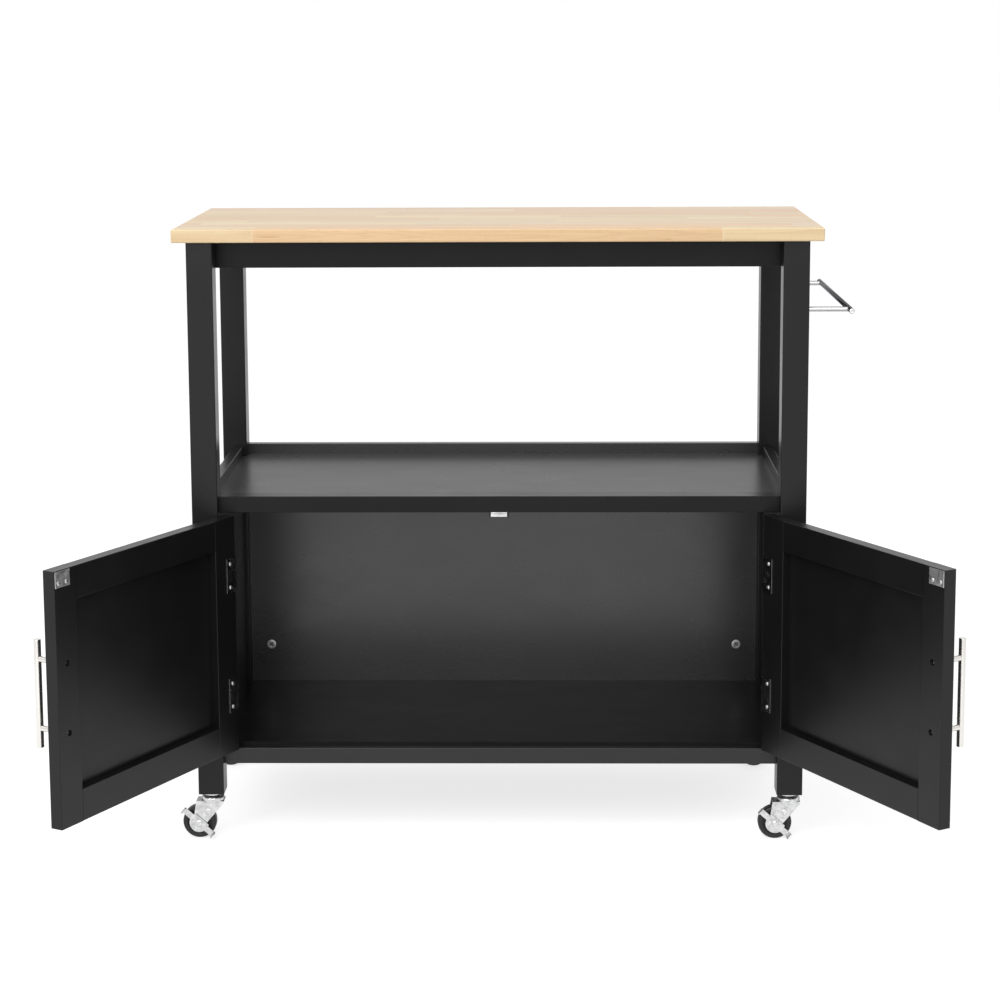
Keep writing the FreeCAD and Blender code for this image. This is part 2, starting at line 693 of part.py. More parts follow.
def make_free_stile(door):
    part = make_stile(door, "door_free_stile", "door_width - free_stile_width", "free_stile_width",
                      "door_width - free_stile_width")
    for z in handle_post_heights():
        at = (door.s("door_width - handle_from_edge"), door.n("0"), z)
        cut_rod(part, "handle_screw_radius + screw_slack", "door_thickness", at, "Y")
        sunk = (at[0], door.n("door_thickness - handle_head_sink"), z)
        cut_rod(part, "handle_head_radius + screw_slack", "handle_head_sink", sunk, "Y")
    for s in strike_screw_places():
        at = (door.s(s), door.n("door_thickness - screw_length"), strike_screw_height())
        cut_rod(part, "screw_radius + screw_slack", "screw_length", at, "Y")
    return part


def make_door_rail(door, label, bottom, groove_z):
    """Rail with a groove for the panel and a tongue at each end."""
    part = door.body(label)
    add_box(part, ("door_opening", "door_thickness", "door_rail_width"),
            (door.s("hinge_stile_width", "door_opening"), door.n("0"), bottom))
    round_edges(part, "door_round", "X")
    add_box(part, ("door_opening + 2 * groove_depth - 2 * slack", "panel_thickness", "door_rail_width"),
            (door.s("hinge_stile_width - groove_depth + slack", "door_opening + 2 * groove_depth - 2 * slack"),
             door.n("panel_recess"), bottom))
    cut_box(part, ("door_opening + 2 * groove_depth", "panel_thickness + 2 * slack", "groove_depth"),
            (door.s("hinge_stile_width - groove_depth", "door_opening + 2 * groove_depth"),
             door.n("panel_recess - slack"), groove_z))
    return part


def make_door_panel(door):
    part = door.body("door_panel")
    reach = "(groove_depth - slack)"
    add_box(part, ("door_opening + 2 * " + reach, "panel_thickness",
                   "door_height - 2 * door_rail_width + 2 * " + reach),
            (door.s("hinge_stile_width - " + reach, "door_opening + 2 * " + reach), door.n("panel_recess"),
             "door_bottom + door_rail_width - " + reach))
    return part


def make_door_leaves(door):
    """Leaf that wraps from the door's inner face round its edge to the middle knuckle."""
    leaves = []
    for level, middle in zip(("low", "high"), hinge_middles()):
        tag = "%s_%s" % (door.name, level)
        low = middle + " - leaf_height / 2"
        face = box("wrap_face_" + tag, ("leaf_width + leaf_thickness", "leaf_thickness", "leaf_height"),
                   (door.s("-leaf_thickness", "leaf_width + leaf_thickness"), door.n("door_thickness"), low))
        edge = box("wrap_edge_" + tag, ("leaf_thickness", "door_thickness + leaf_thickness - hinge_play", "leaf_height"),
                   (door.s("-leaf_thickness", "leaf_thickness"), door.n("hinge_play"), low))
        bottom = middle + " - knuckle / 2 + hinge_play / 2"
        length = "knuckle - hinge_play / 2"
        strap = box("wrap_strap_" + tag, ("leaf_thickness", "pin_proud + 2 * hinge_play", length),
                    (door.s("-leaf_thickness", "leaf_thickness"), 0, bottom))
        barrel = rod("wrap_knuckle_" + tag, "knuckle_radius", length, (0, 0, bottom))
        tools = [rod("wrap_bore_" + tag, "hinge_pin_radius + running", length, (0, 0, bottom))]
        for number, z in enumerate((middle + " - hinge_screw_reach", middle + " + hinge_screw_reach")):
            tools.append(rod("wrap_hole_%s_%d" % (tag, number), "screw_radius + screw_slack", "leaf_thickness",
                             (door.s("screw_from_edge"), door.n("door_thickness"), z), "Y"))
        leaves.append(cut("wrap_leaf_" + tag, fuse("wrap_solid_" + tag, [face, edge, strap, barrel]), tools))
    return door.group("door_hinge_leaves", leaves)


def strike_start():
    return "(door_width - strike_margin - strike_width)"


def strike_screw_places():
    middle = strike_start() + " + strike_width / 2"
    return (middle + " - strike_screw_spacing / 2", middle + " + strike_screw_spacing / 2")


def strike_screw_height():
    return "door_bottom + door_height - strike_margin - strike_height / 2 - strike_screw_drop"


def make_strike_plate(door):
    part = door.body("door_strike_plate")
    z = "door_bottom + door_height - strike_margin - strike_height"
    add_box(part, ("strike_width", "leaf_thickness", "strike_height"),
            (door.s(strike_start(), "strike_width"), door.n("door_thickness"), z))
    for s in strike_screw_places():
        cut_rod(part, "screw_radius + screw_slack", "leaf_thickness",
                (door.s(s), door.n("door_thickness"), strike_screw_height()), "Y")
    return part


def make_door_screws(door):
    """Identical screws: four through the hinge leaves and two through the strike plate."""
    places = [("screw_from_edge", z) for z in hinge_screw_heights()]
    places += [(s, strike_screw_height()) for s in strike_screw_places()]
    screws = []
    for number, (s, z) in enumerate(places):
        tag = "%s%d" % (door.name, number)
        surface = "door_thickness + leaf_thickness"
        head = rod("door_screw_head_" + tag, "screw_head_radius", "screw_head_height",
                   (door.s(s), door.n(surface), z), "Y")
        shank = rod("door_screw_shank_" + tag, "screw_radius", "screw_length + leaf_thickness",
                    (door.s(s), door.n("door_thickness - screw_length + slack"), z), "Y")
        screws.append(fuse("door_screw_" + tag, [head, shank]))
    return door.group("door_small_screws", screws)


def handle_post_heights():
    return ("door_middle - handle_centres / 2", "door_middle + handle_centres / 2")


def make_handle(door):
    """Bar on two posts; each post has a blind hole for its screw."""
    part = door.body("door_handle")
    s = door.s("door_width - handle_from_edge")
    add_rod(part, "handle_radius", "handle_length", (s, door.n("-handle_standoff"), "door_middle - handle_length / 2"))
    round_edges(part, "door_round", "circle")
    for z in handle_post_heights():
        add_rod(part, "handle_post_radius", "handle_standoff", (s, door.n("-handle_standoff"), z), "Y")
    for z in handle_post_heights():
        cut_rod(part, "handle_screw_radius + slack / 2", "handle_screw_depth + slack",
                (s, door.n("-handle_screw_depth - slack"), z), "Y")
    return part


def make_handle_screws(door):
    screws = []
    for number, z in enumerate(handle_post_heights()):
        tag = "%s%d" % (door.name, number)
        s = door.s("door_width - handle_from_edge")
        head = rod("handle_screw_head_" + tag, "handle_head_radius", "handle_head_height",
                   (s, door.n("door_thickness - handle_head_sink"), z), "Y")
        length = "handle_screw_depth + door_thickness - handle_head_sink"
        shank = rod("handle_screw_shank_" + tag, "handle_screw_radius", length,
                    (s, door.n("-handle_screw_depth"), z), "Y")
        screws.append(fuse("handle_screw_" + tag, [head, shank]))
    return door.group("door_handle_screws", screws)


def make_door(name, side):
    door = Door(name, side)
    top = "door_bottom + door_height - door_rail_width"
    return [
        make_hinge_stile(door),
        make_free_stile(door),
        make_door_rail(door, "door_top_rail", top, top),
        make_door_rail(door, "door_bottom_rail", "door_bottom", "door_bottom + door_rail_width - groove_depth"),
        make_door_panel(door),
        make_door_leaves(door),
        make_strike_plate(door),
        make_door_screws(door),
        make_handle(door),
        make_handle_screws(door),
    ]


# Casters
# Each caster is drawn with its stem's axis on Z and the floor at zero; the wheel trails toward -X.
CORNERS = (("front_left", -1, -1), ("front_right", 1, -1), ("rear_left", -1, 1), ("rear_right", 1, 1))


def corner_at(side, end):
    return ("%d * stem_x" % side, "%d * stem_y" % end, 0)


def make_caster_stems():
    """Stems with a flange under the leg, a neck in the fork's hole and a riveted end in the race cup."""
    stems = []
    for name, side, end in CORNERS:
        x, y, _ = corner_at(side, end)
        low = "race_top - sheet - play - stem_head_height"
        stem = rod("stem_" + name, "stem_radius", "leg_bottom + stem_in_leg - (%s)" % low, (x, y, low))
        head = rod("stem_head_" + name, "stem_head_radius", "stem_head_height", (x, y, low))
        neck = rod("stem_neck_" + name, "neck_radius", "leg_bottom - flange_height - race_top - play",
                   (x, y, "race_top + play"))
        flange = rod("stem_flange_" + name, "flange_radius", "flange_height", (x, y, "leg_bottom - flange_height"))
        stems.append(fuse("stem_solid_" + name, [stem, head, neck, flange]))
    return group("caster_stems", stems)


def outline(part, label, points):
    """Closed outline in the body's XZ plane; each corner is a pair of positive distances from the origin."""
    sketch = part.newObject("Sketcher::SketchObject", label)
    plane = [f for f in part.Origin.OriginFeatures if f.Role == "XZ_Plane"][0]
    sketch.AttachmentSupport = [(plane, "")]
    sketch.MapMode = "FlatFace"
    values = [(read(x), read(z)) for x, z in points]
    count = len(points)
    for number in range(count):
        start, end = values[number], values[(number + 1) % count]
        sketch.addGeometry(Part.LineSegment(V(start[0], start[1], 0), V(end[0], end[1], 0)))
    for number in range(count):
        sketch.addConstraint(Sketcher.Constraint("Coincident", number, 2, (number + 1) % count, 1))
    for number, (x, z) in enumerate(points):
        for kind, text, value in (("DistanceX", x, values[number][0]), ("DistanceY", z, values[number][1])):
            index = sketch.addConstraint(Sketcher.Constraint(kind, -1, 1, number, 1, value))
            sketch.setExpression("Constraints[%d]" % index, link(text))
    return sketch


def read(formula):
    """Present value of a formula on the sheet's dimensions."""
    return float(doc.Dims.evalExpression(link(formula).replace("Dims.", "")))


def make_fork(name, side, end):
    """Stamped fork: two tapering cheeks, a top plate and a ball race cup."""
    x, y, _ = corner_at(side, end)
    back = "(trail + boss_radius)"
    part = body("caster_fork_" + name, (x + " - " + back, y, 0))
    axle = "boss_radius"
    sketch = outline(part, "cheek_" + name, [
        (axle + " - fork_tail", "fork_top"),
        (back + " + fork_heel", "fork_top"),
        (back + " + fork_heel", "fork_top - fork_heel_drop"),
        (axle + " + cheek_in", "wheel_radius - cheek_drop"),
        (axle + " - cheek_out", "wheel_radius + cheek_rise"),
    ])
    pad = part.newObject("PartDesign::Pad", "cheeks_" + name)
    pad.Profile = sketch
    pad.Midplane = True
    bind(pad, Length="fork_width")
    add_rod(part, "boss_radius", "fork_width", (axle, "-fork_width / 2", "wheel_radius"), "Y")
    cut_box(part, ("2 * race_radius + 2 * " + back, "fork_gap", "fork_top - sheet"), ("-race_radius", "-fork_gap / 2", 0))
    add_rod(part, "race_radius", "race_height + sheet", (back, 0, "fork_top - sheet"))
    doc.recompute()
    rim = read("race_top")
    round_edges(part, "race_round", "circle", lambda point: abs(point.z - rim) < 0.01 * rim)
    cut_rod(part, "race_radius - sheet", "race_height", (back, 0, "fork_top - sheet"))
    cut_rod(part, "stem_radius + running", "race_height + sheet", (back, 0, "fork_top"))
    cut_rod(part, "axle_radius + slack", "fork_width", (axle, "-fork_width / 2", "wheel_radius"), "Y")
    return part


def make_wheel(name, side, end):
    """Wheel with rounded tread, recessed sides and a hub with a bore."""
    x, y, _ = corner_at(side, end)
    part = body("caster_wheel_" + name, (x + " - trail", y, "wheel_radius"))
    add_rod(part, "wheel_radius", "wheel_width", (0, "-wheel_width / 2", 0), "Y")
    round_edges(part, "wheel_round", "circle")
    for start in ("-wheel_width / 2", "wheel_width / 2 - wheel_recess"):
        cut_rod(part, "wheel_core_radius", "wheel_recess", (0, start, 0), "Y")
    hub = "(fork_gap - 2 * play)"
    add_rod(part, "hub_radius", hub, (0, "-%s / 2" % hub, 0), "Y")
    cut_rod(part, "axle_radius + running", hub, (0, "-%s / 2" % hub, 0), "Y")
    return part


def make_axle(name, side, end):
    """Riveted axle; on a braked caster the front head also holds the lever."""
    x, y, _ = corner_at(side, end)
    part = body("caster_axle_" + name, (x + " - trail", y, "wheel_radius"))
    reach = "(fork_width / 2 + 2 * play + sheet)" if end < 0 else "(fork_width / 2)"
    add_rod(part, "axle_radius", reach + " + fork_width / 2", (0, "-" + reach, 0), "Y")
    add_rod(part, "axle_head_radius", "axle_head", (0, "-%s - axle_head" % reach, 0), "Y")
    add_rod(part, "axle_head_radius", "axle_head", (0, "fork_width / 2", 0), "Y")
    rear_rim = read("fork_width / 2 + axle_head / 2")
    front_rim = -read(reach + " + axle_head / 2")
    round_edges(part, "axle_head / 2", "circle", lambda point: point.y > rear_rim or point.y < front_rim)
    return part


def make_brake_lever(name, side, end):
    """Side lever on the axle: a part-round plate with two arms and a tab bent outward at each end."""
    x, y, _ = corner_at(side, end)
    part = body("caster_brake_" + name, (x + " - trail", y, "wheel_radius"), FreeCAD.Rotation(V(0, 1, 0), 45),
                "lever_angle")
    add_rod(part, "lever_radius", "sheet", (0, "lever_y", 0), "Y")
    cut_box(part, ("2 * lever_radius", "sheet", "lever_radius"), ("-lever_radius", "lever_y", "lever_crown"))
    add_box(part, ("lever_up + lever_down", "sheet", "lever_width"), ("-lever_up", "lever_y", "-lever_width / 2"))
    for start in ("-lever_up", "lever_down - sheet"):
        add_box(part, ("sheet", "lever_tab + sheet", "lever_width"), (start, "lever_y - lever_tab", "-lever_width / 2"))
    cut_rod(part, "axle_radius + running", "sheet", (0, "lever_y", 0), "Y")
    return part


def make_casters():
    parts = [make_caster_stems()]
    for name, side, end in CORNERS:
        parts += [make_fork(name, side, end), make_wheel(name, side, end), make_axle(name, side, end)]
        if end < 0:
            parts.append(make_brake_lever(name, side, end))
    return parts


def make_cart():
    parts = [make_worktop(), make_top_screws()]
    for name, side, end in CORNERS:
        parts.append(make_leg("leg_" + name, side, end))
    parts += [
        make_front_top_rail(),
        make_rear_top_rail(),
        make_side_top_rail("top_rail_left", -1),
        make_side_top_rail("top_rail_right", 1),
        make_shelf_board(),
        make_shelf_front_rail(),
        make_side_panel("side_panel_left", -1),
        make_side_panel("side_panel_right", 1),
        make_back_panel(),
        make_floor_board(),
        make_floor_front_rail(),
        make_cam_locks(),
        make_cam_bolts(),
        make_towel_bar(),
        make_catch_case(),
        make_catch_poles(),
        make_frame_leaves(),
        make_hinge_pins(),
        make_frame_screws(),
    ]
    parts += make_door("left", -1)
    parts += make_door("right", 1)
    return parts + make_casters()


def check_and_export(parts):
    doc.recompute()
    for obj in doc.Objects:
        if "Invalid" in obj.State or "Error" in obj.State:
            raise RuntimeError("%s did not build: %s" % (obj.Name, obj.State))
    os.makedirs("parts", exist_ok=True)
    for part in parts:
        shape = part.Shape
        if shape.isNull() or not shape.isValid():
            raise RuntimeError("%s has no valid shape" % part.Label)
        shape.exportStep("parts/%s.step" % part.Label)


check_and_export(make_cart())
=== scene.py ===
import json
import math
import bmesh
import bpy
from mathutils import Matrix, Vector

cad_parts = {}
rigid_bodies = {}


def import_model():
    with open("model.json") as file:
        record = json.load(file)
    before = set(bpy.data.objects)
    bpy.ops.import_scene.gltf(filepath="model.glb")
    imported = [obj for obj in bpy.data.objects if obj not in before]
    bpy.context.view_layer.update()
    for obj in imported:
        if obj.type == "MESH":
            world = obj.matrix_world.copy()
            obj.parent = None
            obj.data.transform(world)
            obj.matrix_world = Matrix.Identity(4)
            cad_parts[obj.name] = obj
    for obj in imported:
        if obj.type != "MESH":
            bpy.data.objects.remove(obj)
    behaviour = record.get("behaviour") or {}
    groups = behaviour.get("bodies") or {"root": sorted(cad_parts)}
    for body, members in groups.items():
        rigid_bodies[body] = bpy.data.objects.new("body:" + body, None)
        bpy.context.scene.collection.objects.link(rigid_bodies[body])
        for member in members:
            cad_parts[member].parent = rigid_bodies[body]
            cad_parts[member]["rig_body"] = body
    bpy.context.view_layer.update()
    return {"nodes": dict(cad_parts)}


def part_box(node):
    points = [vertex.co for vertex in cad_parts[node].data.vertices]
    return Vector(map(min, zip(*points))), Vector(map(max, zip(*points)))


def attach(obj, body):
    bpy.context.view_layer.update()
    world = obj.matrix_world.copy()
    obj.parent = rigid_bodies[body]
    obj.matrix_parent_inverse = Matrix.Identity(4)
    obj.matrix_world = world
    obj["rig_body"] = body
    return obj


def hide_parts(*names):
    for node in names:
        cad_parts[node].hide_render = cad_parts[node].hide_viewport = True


# Kitchen cart dressed for the photograph. Lengths are in mm, and in metres for the grain of
# materials, the floor, the lamps and the camera.
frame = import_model()
MM = 0.001

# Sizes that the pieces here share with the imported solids
SIDE = {"left": -1, "right": 1}
CORNERS = ("front_left", "front_right", "rear_left", "rear_right")
DOOR_ANGLE = {"left": 118, "right": 120}
DOOR_WIDTH = 407.4
DOOR_THICK = 19
DOOR_MIDDLE = 317
PIN_X, PIN_Y = 407.4, -180.8
PIN_INSET, PIN_PROUD = 1.2, 3.3
HINGE_MIDDLES = (227, 407)
HINGE_HALF_HEIGHT = 25.75
HINGE_SCREWS = (209.5, 244.5, 389.5, 424.5)
PLATE_THICK = 1
STRIKE_WIDTH, STRIKE_MARGIN = 30, 1.2
HANDLE_INSET, HANDLE_REACH, HANDLE_LENGTH = 22, 32, 150
HANDLE_RADIUS, HANDLE_POST_RADIUS = 5, 4
POST_HEIGHTS = (269, 365)
TOWEL_X, TOWEL_HEIGHT, TOWEL_LENGTH, TOWEL_POST_Y = 509, 795, 405, 174.5
TOWEL_RADIUS, TOWEL_POST_RADIUS = 4, 3.5
LEG_OUTSIDE = 449
CAM_X, CAM_BACK, CAM_HEIGHT = 380, 189.3, 202
STEM_LOW = 60.4
WHEEL_HALF_WIDTH = 8.5


# Materials
class Finish:
    """A material on object coordinates, put together from a few steps."""

    def __init__(self, name, constants):
        self.material = bpy.data.materials.new(name)
        self.material.use_nodes = True
        self.tree = self.material.node_tree
        self.shader = self.tree.nodes["Principled BSDF"]
        for socket, value in constants.items():
            self.shader.inputs[socket].default_value = value
        self.place = self.tree.nodes.new("ShaderNodeTexCoord").outputs["Object"]

    def wire(self, socket, value):
        if isinstance(value, bpy.types.NodeSocket):
            self.tree.links.new(value, socket)
        else:
            socket.default_value = value

    def add(self, kind, operation=None, **values):
        node = self.tree.nodes.new(kind)
        if operation:
            node.operation = operation
        for name, value in values.items():
            self.wire(node.inputs[name], value)
        return node

    def sized(self, sizes, turn=0.0, place=None):
        """Coordinates in units of these sizes in metres, turned about Z."""
        node = self.add("ShaderNodeMapping", Vector=place or self.place, Scale=sizes,
                        Rotation=(0, 0, turn))
        node.vector_type = "TEXTURE"
        return node.outputs[0]

    def shifted(self, distance):
        """Coordinates moved by this distance in metres."""
        node = self.add("ShaderNodeVectorMath", "ADD", Vector=self.place)
        self.wire(node.inputs[1], distance)
        return node.outputs[0]

    def grain(self, sizes, turn=0.0, detail=2.0, rough=0.5, warp=0.0, place=None):
        """Noise whose grains have these sizes in metres."""
        node = self.add("ShaderNodeTexNoise", Vector=self.sized(sizes, turn, place), Scale=1.0,
                        Detail=detail, Roughness=rough, Distortion=warp)
        return node.outputs["Fac"]

    def ramp(self, value, *stops):
        """Greys or colours at these positions of the value."""
        node = self.add("ShaderNodeValToRGB", Fac=value)
        elements = node.color_ramp.elements
        elements[0].position = stops[0][0]
        elements[1].position = stops[-1][0]
        for position, _ in stops[1:-1]:
            elements.new(position)
        for element, (_, tone) in zip(elements, stops):
            element.color = (*tone, 1) if isinstance(tone, tuple) else (tone, tone, tone, 1)
        return node.outputs["Color"]

    def maths(self, operation, first, second=0.0):
        node = self.add("ShaderNodeMath", operation)
        self.wire(node.inputs[0], first)
        self.wire(node.inputs[1], second)
        return node.outputs[0]

    def mix(self, share, first, second, mode="MIX"):
        node = self.tree.nodes.new("ShaderNodeMix")
        node.data_type = "RGBA"
        node.blend_type = mode
        self.wire(node.inputs[0], share)
        self.wire(node.inputs[6], first)
        self.wire(node.inputs[7], second)
        return node.outputs[2]

    def relief(self, height, depth, strength, under=None):
        node = self.add("ShaderNodeBump", Height=height, Distance=depth, Strength=strength)
        if under is not None:
            self.tree.links.new(under, node.inputs["Normal"])
        return node.outputs["Normal"]

    def give(self, **sockets):
        for name, value in sockets.items():
            self.wire(self.shader.inputs[name.replace("_", " ")], value)
        return self.material


PORE_LENGTH, PORE_WIDTH = 0.14, 0.0016


def black_paint(name, along, turn=0.0, tone=(0.0055, 0.0085), rough=(0.29, 0.35), shine=0.32,
                pore_relief=0.2, peel_relief=0.12):
    """Satin black over sanded wood: a fine peel, pores along the board and faint clouds."""
    f = Finish(name, {"IOR": 1.45, "Specular IOR Level": shine})
    dark, light = ((t, t, 1.06 * t) for t in tone)
    clouds = f.grain((0.11, 0.11, 0.11), detail=3)
    pore = tuple(PORE_LENGTH if axis == along else PORE_WIDTH for axis in "XYZ")
    pores = f.grain(pore, turn, detail=3, rough=0.65)
    peel = f.grain((0.0011, 0.0011, 0.0011), detail=2)
    wipes = f.grain((0.09, 0.05, 0.05), detail=3, rough=0.5, warp=0.3)
    colour = f.mix(0.22, f.ramp(clouds, (0.3, dark), (0.72, light)),
                   f.ramp(pores, (0.35, dark), (0.7, light)))
    normal = f.relief(pores, 0.00003, pore_relief)
    normal = f.relief(peel, 0.00002, peel_relief, normal)
    return f.give(Base_Color=colour, Roughness=f.ramp(wipes, (0.3, rough[0]), (0.75, rough[1])),
                  Normal=normal)


# Staves in metres, front row being row 0, and how their ends step from row to row
STAVE_WIDTH = 0.0413
FRONT_ROW_SHIFT = 5.0
STAVE_LENGTH, STAVE_SPREAD, FRONT_STAVE_MORE = 0.26, 0.24, 0.414
ROW_SPREAD, ROW_STEP, FIRST_STEP = 0.618, 0.43, 0.5193
JOINT_FINGER = 0.0021
STAVE_SEED = 3.0
STAVES_APART = 3.0
EDGE_TONE_STEP, EDGE_TONE_FIRST = 0.62, 0.03
RING_COUNT = 95.0
STREAK_SIZE, STREAK_SHIFT = (0.022, 0.006, 0.0011), (0.327, 0.2065, -0.9045)
GLUE_FROM, JOINT_FROM = 0.4955, 0.4988


def lacquered_staves():
    """Pale finger-jointed hardwood: staves with their own tone and rings, joints, satin lacquer."""
    f = Finish("lacquered_staves", {"Coat Weight": 0.06, "Coat Roughness": 0.25, "IOR": 1.46,
                                    "Specular IOR Level": 0.36})
    x, y, z = f.add("ShaderNodeSeparateXYZ", Vector=f.place).outputs
    row_place = f.maths("ADD", f.maths("DIVIDE", y, STAVE_WIDTH), FRONT_ROW_SHIFT)
    row = f.maths("FLOOR", row_place)
    front = f.maths("LESS_THAN", row, 0.5)
    spread = f.maths("FRACT", f.maths("MULTIPLY", row, ROW_SPREAD))
    length = f.maths("ADD", f.maths("MULTIPLY", spread, STAVE_SPREAD), STAVE_LENGTH)
    length = f.maths("ADD", length, f.maths("MULTIPLY", front, FRONT_STAVE_MORE))
    phase = f.maths("ADD", f.maths("MULTIPLY", row, ROW_STEP), FIRST_STEP)
    finger = f.maths("PINGPONG", z, JOINT_FINGER)
    along = f.maths("ADD", f.maths("DIVIDE", f.maths("ADD", x, finger), length), phase)
    index = f.maths("FLOOR", along)
    cell = f.add("ShaderNodeCombineXYZ", X=row, Y=index, Z=STAVE_SEED).outputs[0]
    pick = f.add("ShaderNodeTexWhiteNoise", Vector=cell)
    apart = f.add("ShaderNodeVectorMath", "SCALE", Vector=pick.outputs["Color"], Scale=STAVES_APART)
    own = f.shifted(apart.outputs[0])
    edge_tone = f.maths("MULTIPLY", f.maths("ABSOLUTE", index), EDGE_TONE_STEP)
    edge_tone = f.maths("ADD", edge_tone, EDGE_TONE_FIRST)
    colour = f.ramp(f.mix(front, pick.outputs["Value"], edge_tone),
                    (0.0, (0.88, 0.61, 0.34)), (0.2, (0.83, 0.62, 0.44)),
                    (0.4, (0.86, 0.75, 0.56)), (0.65, (0.90, 0.73, 0.45)),
                    (0.85, (0.76, 0.63, 0.47)), (1.0, (0.86, 0.60, 0.36)))
    field = f.grain((0.55, 0.028, 0.028), detail=1, place=own)
    rings = f.maths("SINE", f.maths("MULTIPLY", field, RING_COUNT))
    lines = f.grain((0.20, 0.0015, 0.0015), detail=3, rough=0.6, place=own)
    pores = f.grain((0.010, 0.00045, 0.00045), detail=1, place=own)
    flecks = f.grain((0.030, 0.0020, 0.0020), detail=2, place=own)
    broad = f.grain((0.30, 0.016, 0.016), detail=2, place=own)
    streak = f.add("ShaderNodeVectorMath", "LENGTH",
                   Vector=f.sized(STREAK_SIZE, place=f.shifted(STREAK_SHIFT))).outputs["Value"]
    for mark, first, last, over in (
            (broad, (0.38, 0.0), (0.66, 0.34), (0.70, 0.47, 0.28, 1)),
            (rings, (0.1, 0.0), (0.95, 0.20), (0.62, 0.38, 0.20, 1)),
            (lines, (0.45, 0.0), (0.75, 0.24), (0.58, 0.37, 0.20, 1)),
            (pores, (0.62, 0.0), (0.72, 0.30), (0.42, 0.25, 0.12, 1)),
            (flecks, (0.70, 0.0), (0.78, 0.6), (0.52, 0.26, 0.09, 1)),
            (streak, (0.3, 0.75), (1.0, 0.0), (0.46, 0.20, 0.06, 1))):
        colour = f.mix(f.ramp(mark, first, last), colour, over)
    edge = f.maths("ABSOLUTE", f.maths("SUBTRACT", f.maths("FRACT", row_place), 0.5))
    end = f.maths("ABSOLUTE", f.maths("SUBTRACT", f.maths("FRACT", along), 0.5))
    glued = f.maths("GREATER_THAN", edge, GLUE_FROM)
    jointed = f.maths("GREATER_THAN", end, JOINT_FROM)
    colour = f.mix(f.maths("MULTIPLY", glued, 0.26), colour, (0.50, 0.33, 0.18, 1))
    colour = f.mix(f.maths("MULTIPLY", jointed, 0.40), colour, (0.90, 0.78, 0.58, 1))
    sunk = f.maths("ADD", f.maths("MAXIMUM", glued, jointed), pores)
    normal = f.relief(lines, 0.00003, 0.22)
    normal = f.relief(f.maths("SUBTRACT", 1.0, sunk), 0.00003, 0.22, normal)
    return f.give(Base_Color=colour, Roughness=f.ramp(lines, (0.3, 0.38), (0.8, 0.50)),
                  Normal=normal)


def brushed_nickel(name, colour=(0.74, 0.72, 0.69)):
    """Satin nickel with fine upright brush marks."""
    f = Finish(name, {"Metallic": 1.0})
    marks = f.grain((0.0003, 0.0003, 0.03), detail=2, rough=0.6)
    haze = f.grain((0.012, 0.012, 0.012), detail=3)
    dim = tuple(0.86 * c for c in colour)
    tint = f.mix(f.ramp(marks, (0.3, 0.0), (0.8, 0.5)), (*colour, 1), (*dim, 1))
    return f.give(Base_Color=tint, Roughness=f.ramp(haze, (0.3, 0.20), (0.75, 0.31)),
                  Normal=f.relief(marks, 0.00001, 0.12))


def polished_chrome(name, core, rim):
    """Polished chrome with faint wipe marks. Its colour is painted darker from the middle towards the
    outline, where its surface turns away from view: a painted shade that stands in for its
    reflections.
    """
    f = Finish(name, {"Metallic": 1.0, "Specular Tint": (0.14, 0.14, 0.15, 1)})
    # Painted shade: the colour runs from the core tone, which faces the view, to the rim tone at the
    # outline. The dark Specular Tint paints the grazing edges darker still.
    turned = f.add("ShaderNodeLayerWeight", Blend=0.5).outputs["Facing"]
    marks = f.grain((0.02, 0.02, 0.0015), detail=3, rough=0.6)
    painted_outline_shade = f.ramp(turned, (0.12, core), (0.62, rim))
    tint = f.mix(f.ramp(marks, (0.4, 0.0), (0.8, 0.25)), painted_outline_shade, (0.35, 0.35, 0.36, 1))
    return f.give(Base_Color=tint, Roughness=f.ramp(marks, (0.3, 0.10), (0.8, 0.17)),
                  Normal=f.relief(marks, 0.00001, 0.05))


def bright_zinc(name, rough=(0.20, 0.34), relief=0.05, size=0.004):
    """Zinc plating: soft spangles and a slightly uneven shine, with its grazing edges painted darker
    by a dark edge tint, a painted shade.
    """
    # The dark Specular Tint is painted shade on the edges.
    f = Finish(name, {"Metallic": 1.0, "Specular Tint": (0.26, 0.26, 0.27, 1)})
    spangle = f.add("ShaderNodeTexVoronoi", Vector=f.sized((size, size, size)), Scale=1.0)
    haze = f.grain((0.007, 0.007, 0.007), detail=4, rough=0.6)
    pressed = f.grain((0.0022, 0.0022, 0.0022), detail=2)
    plating = f.ramp(haze, (0.3, (0.44, 0.45, 0.47)), (0.7, (0.70, 0.71, 0.73)))
    tint = f.mix(0.25, plating, spangle.outputs["Color"], "SOFT_LIGHT")
    plain = f.add("ShaderNodeHueSaturation", Color=tint, Saturation=0.12).outputs[0]
    return f.give(Base_Color=plain, Roughness=f.ramp(haze, (0.3, rough[1]), (0.75, rough[0])),
                  Normal=f.relief(pressed, 0.00005, relief))


RECESS_SHADE_FROM = 0.1790


def hollow_zinc():
    """Die-cast zinc of the cams, painted darker down in the drive recess, a painted shade, with the
    rim left bright.
    """
    f = Finish("die_cast_zinc", {"Metallic": 1.0})
    depth = f.add("ShaderNodeSeparateXYZ", Vector=f.place).outputs[1]
    # Painted shade: behind this depth the recess gets a darker colour than the rim.
    sunk = f.maths("GREATER_THAN", depth, RECESS_SHADE_FROM)
    haze = f.grain((0.0014, 0.0014, 0.0014), detail=4, rough=0.6)
    rim = f.ramp(haze, (0.3, 0.50), (0.7, 0.72))
    recess = f.ramp(haze, (0.3, 0.34), (0.7, 0.48))
    return f.give(Base_Color=f.mix(sunk, rim, recess),
                  Roughness=f.ramp(haze, (0.3, 0.45), (0.75, 0.28)),
                  Normal=f.relief(haze, 0.00005, 0.15))


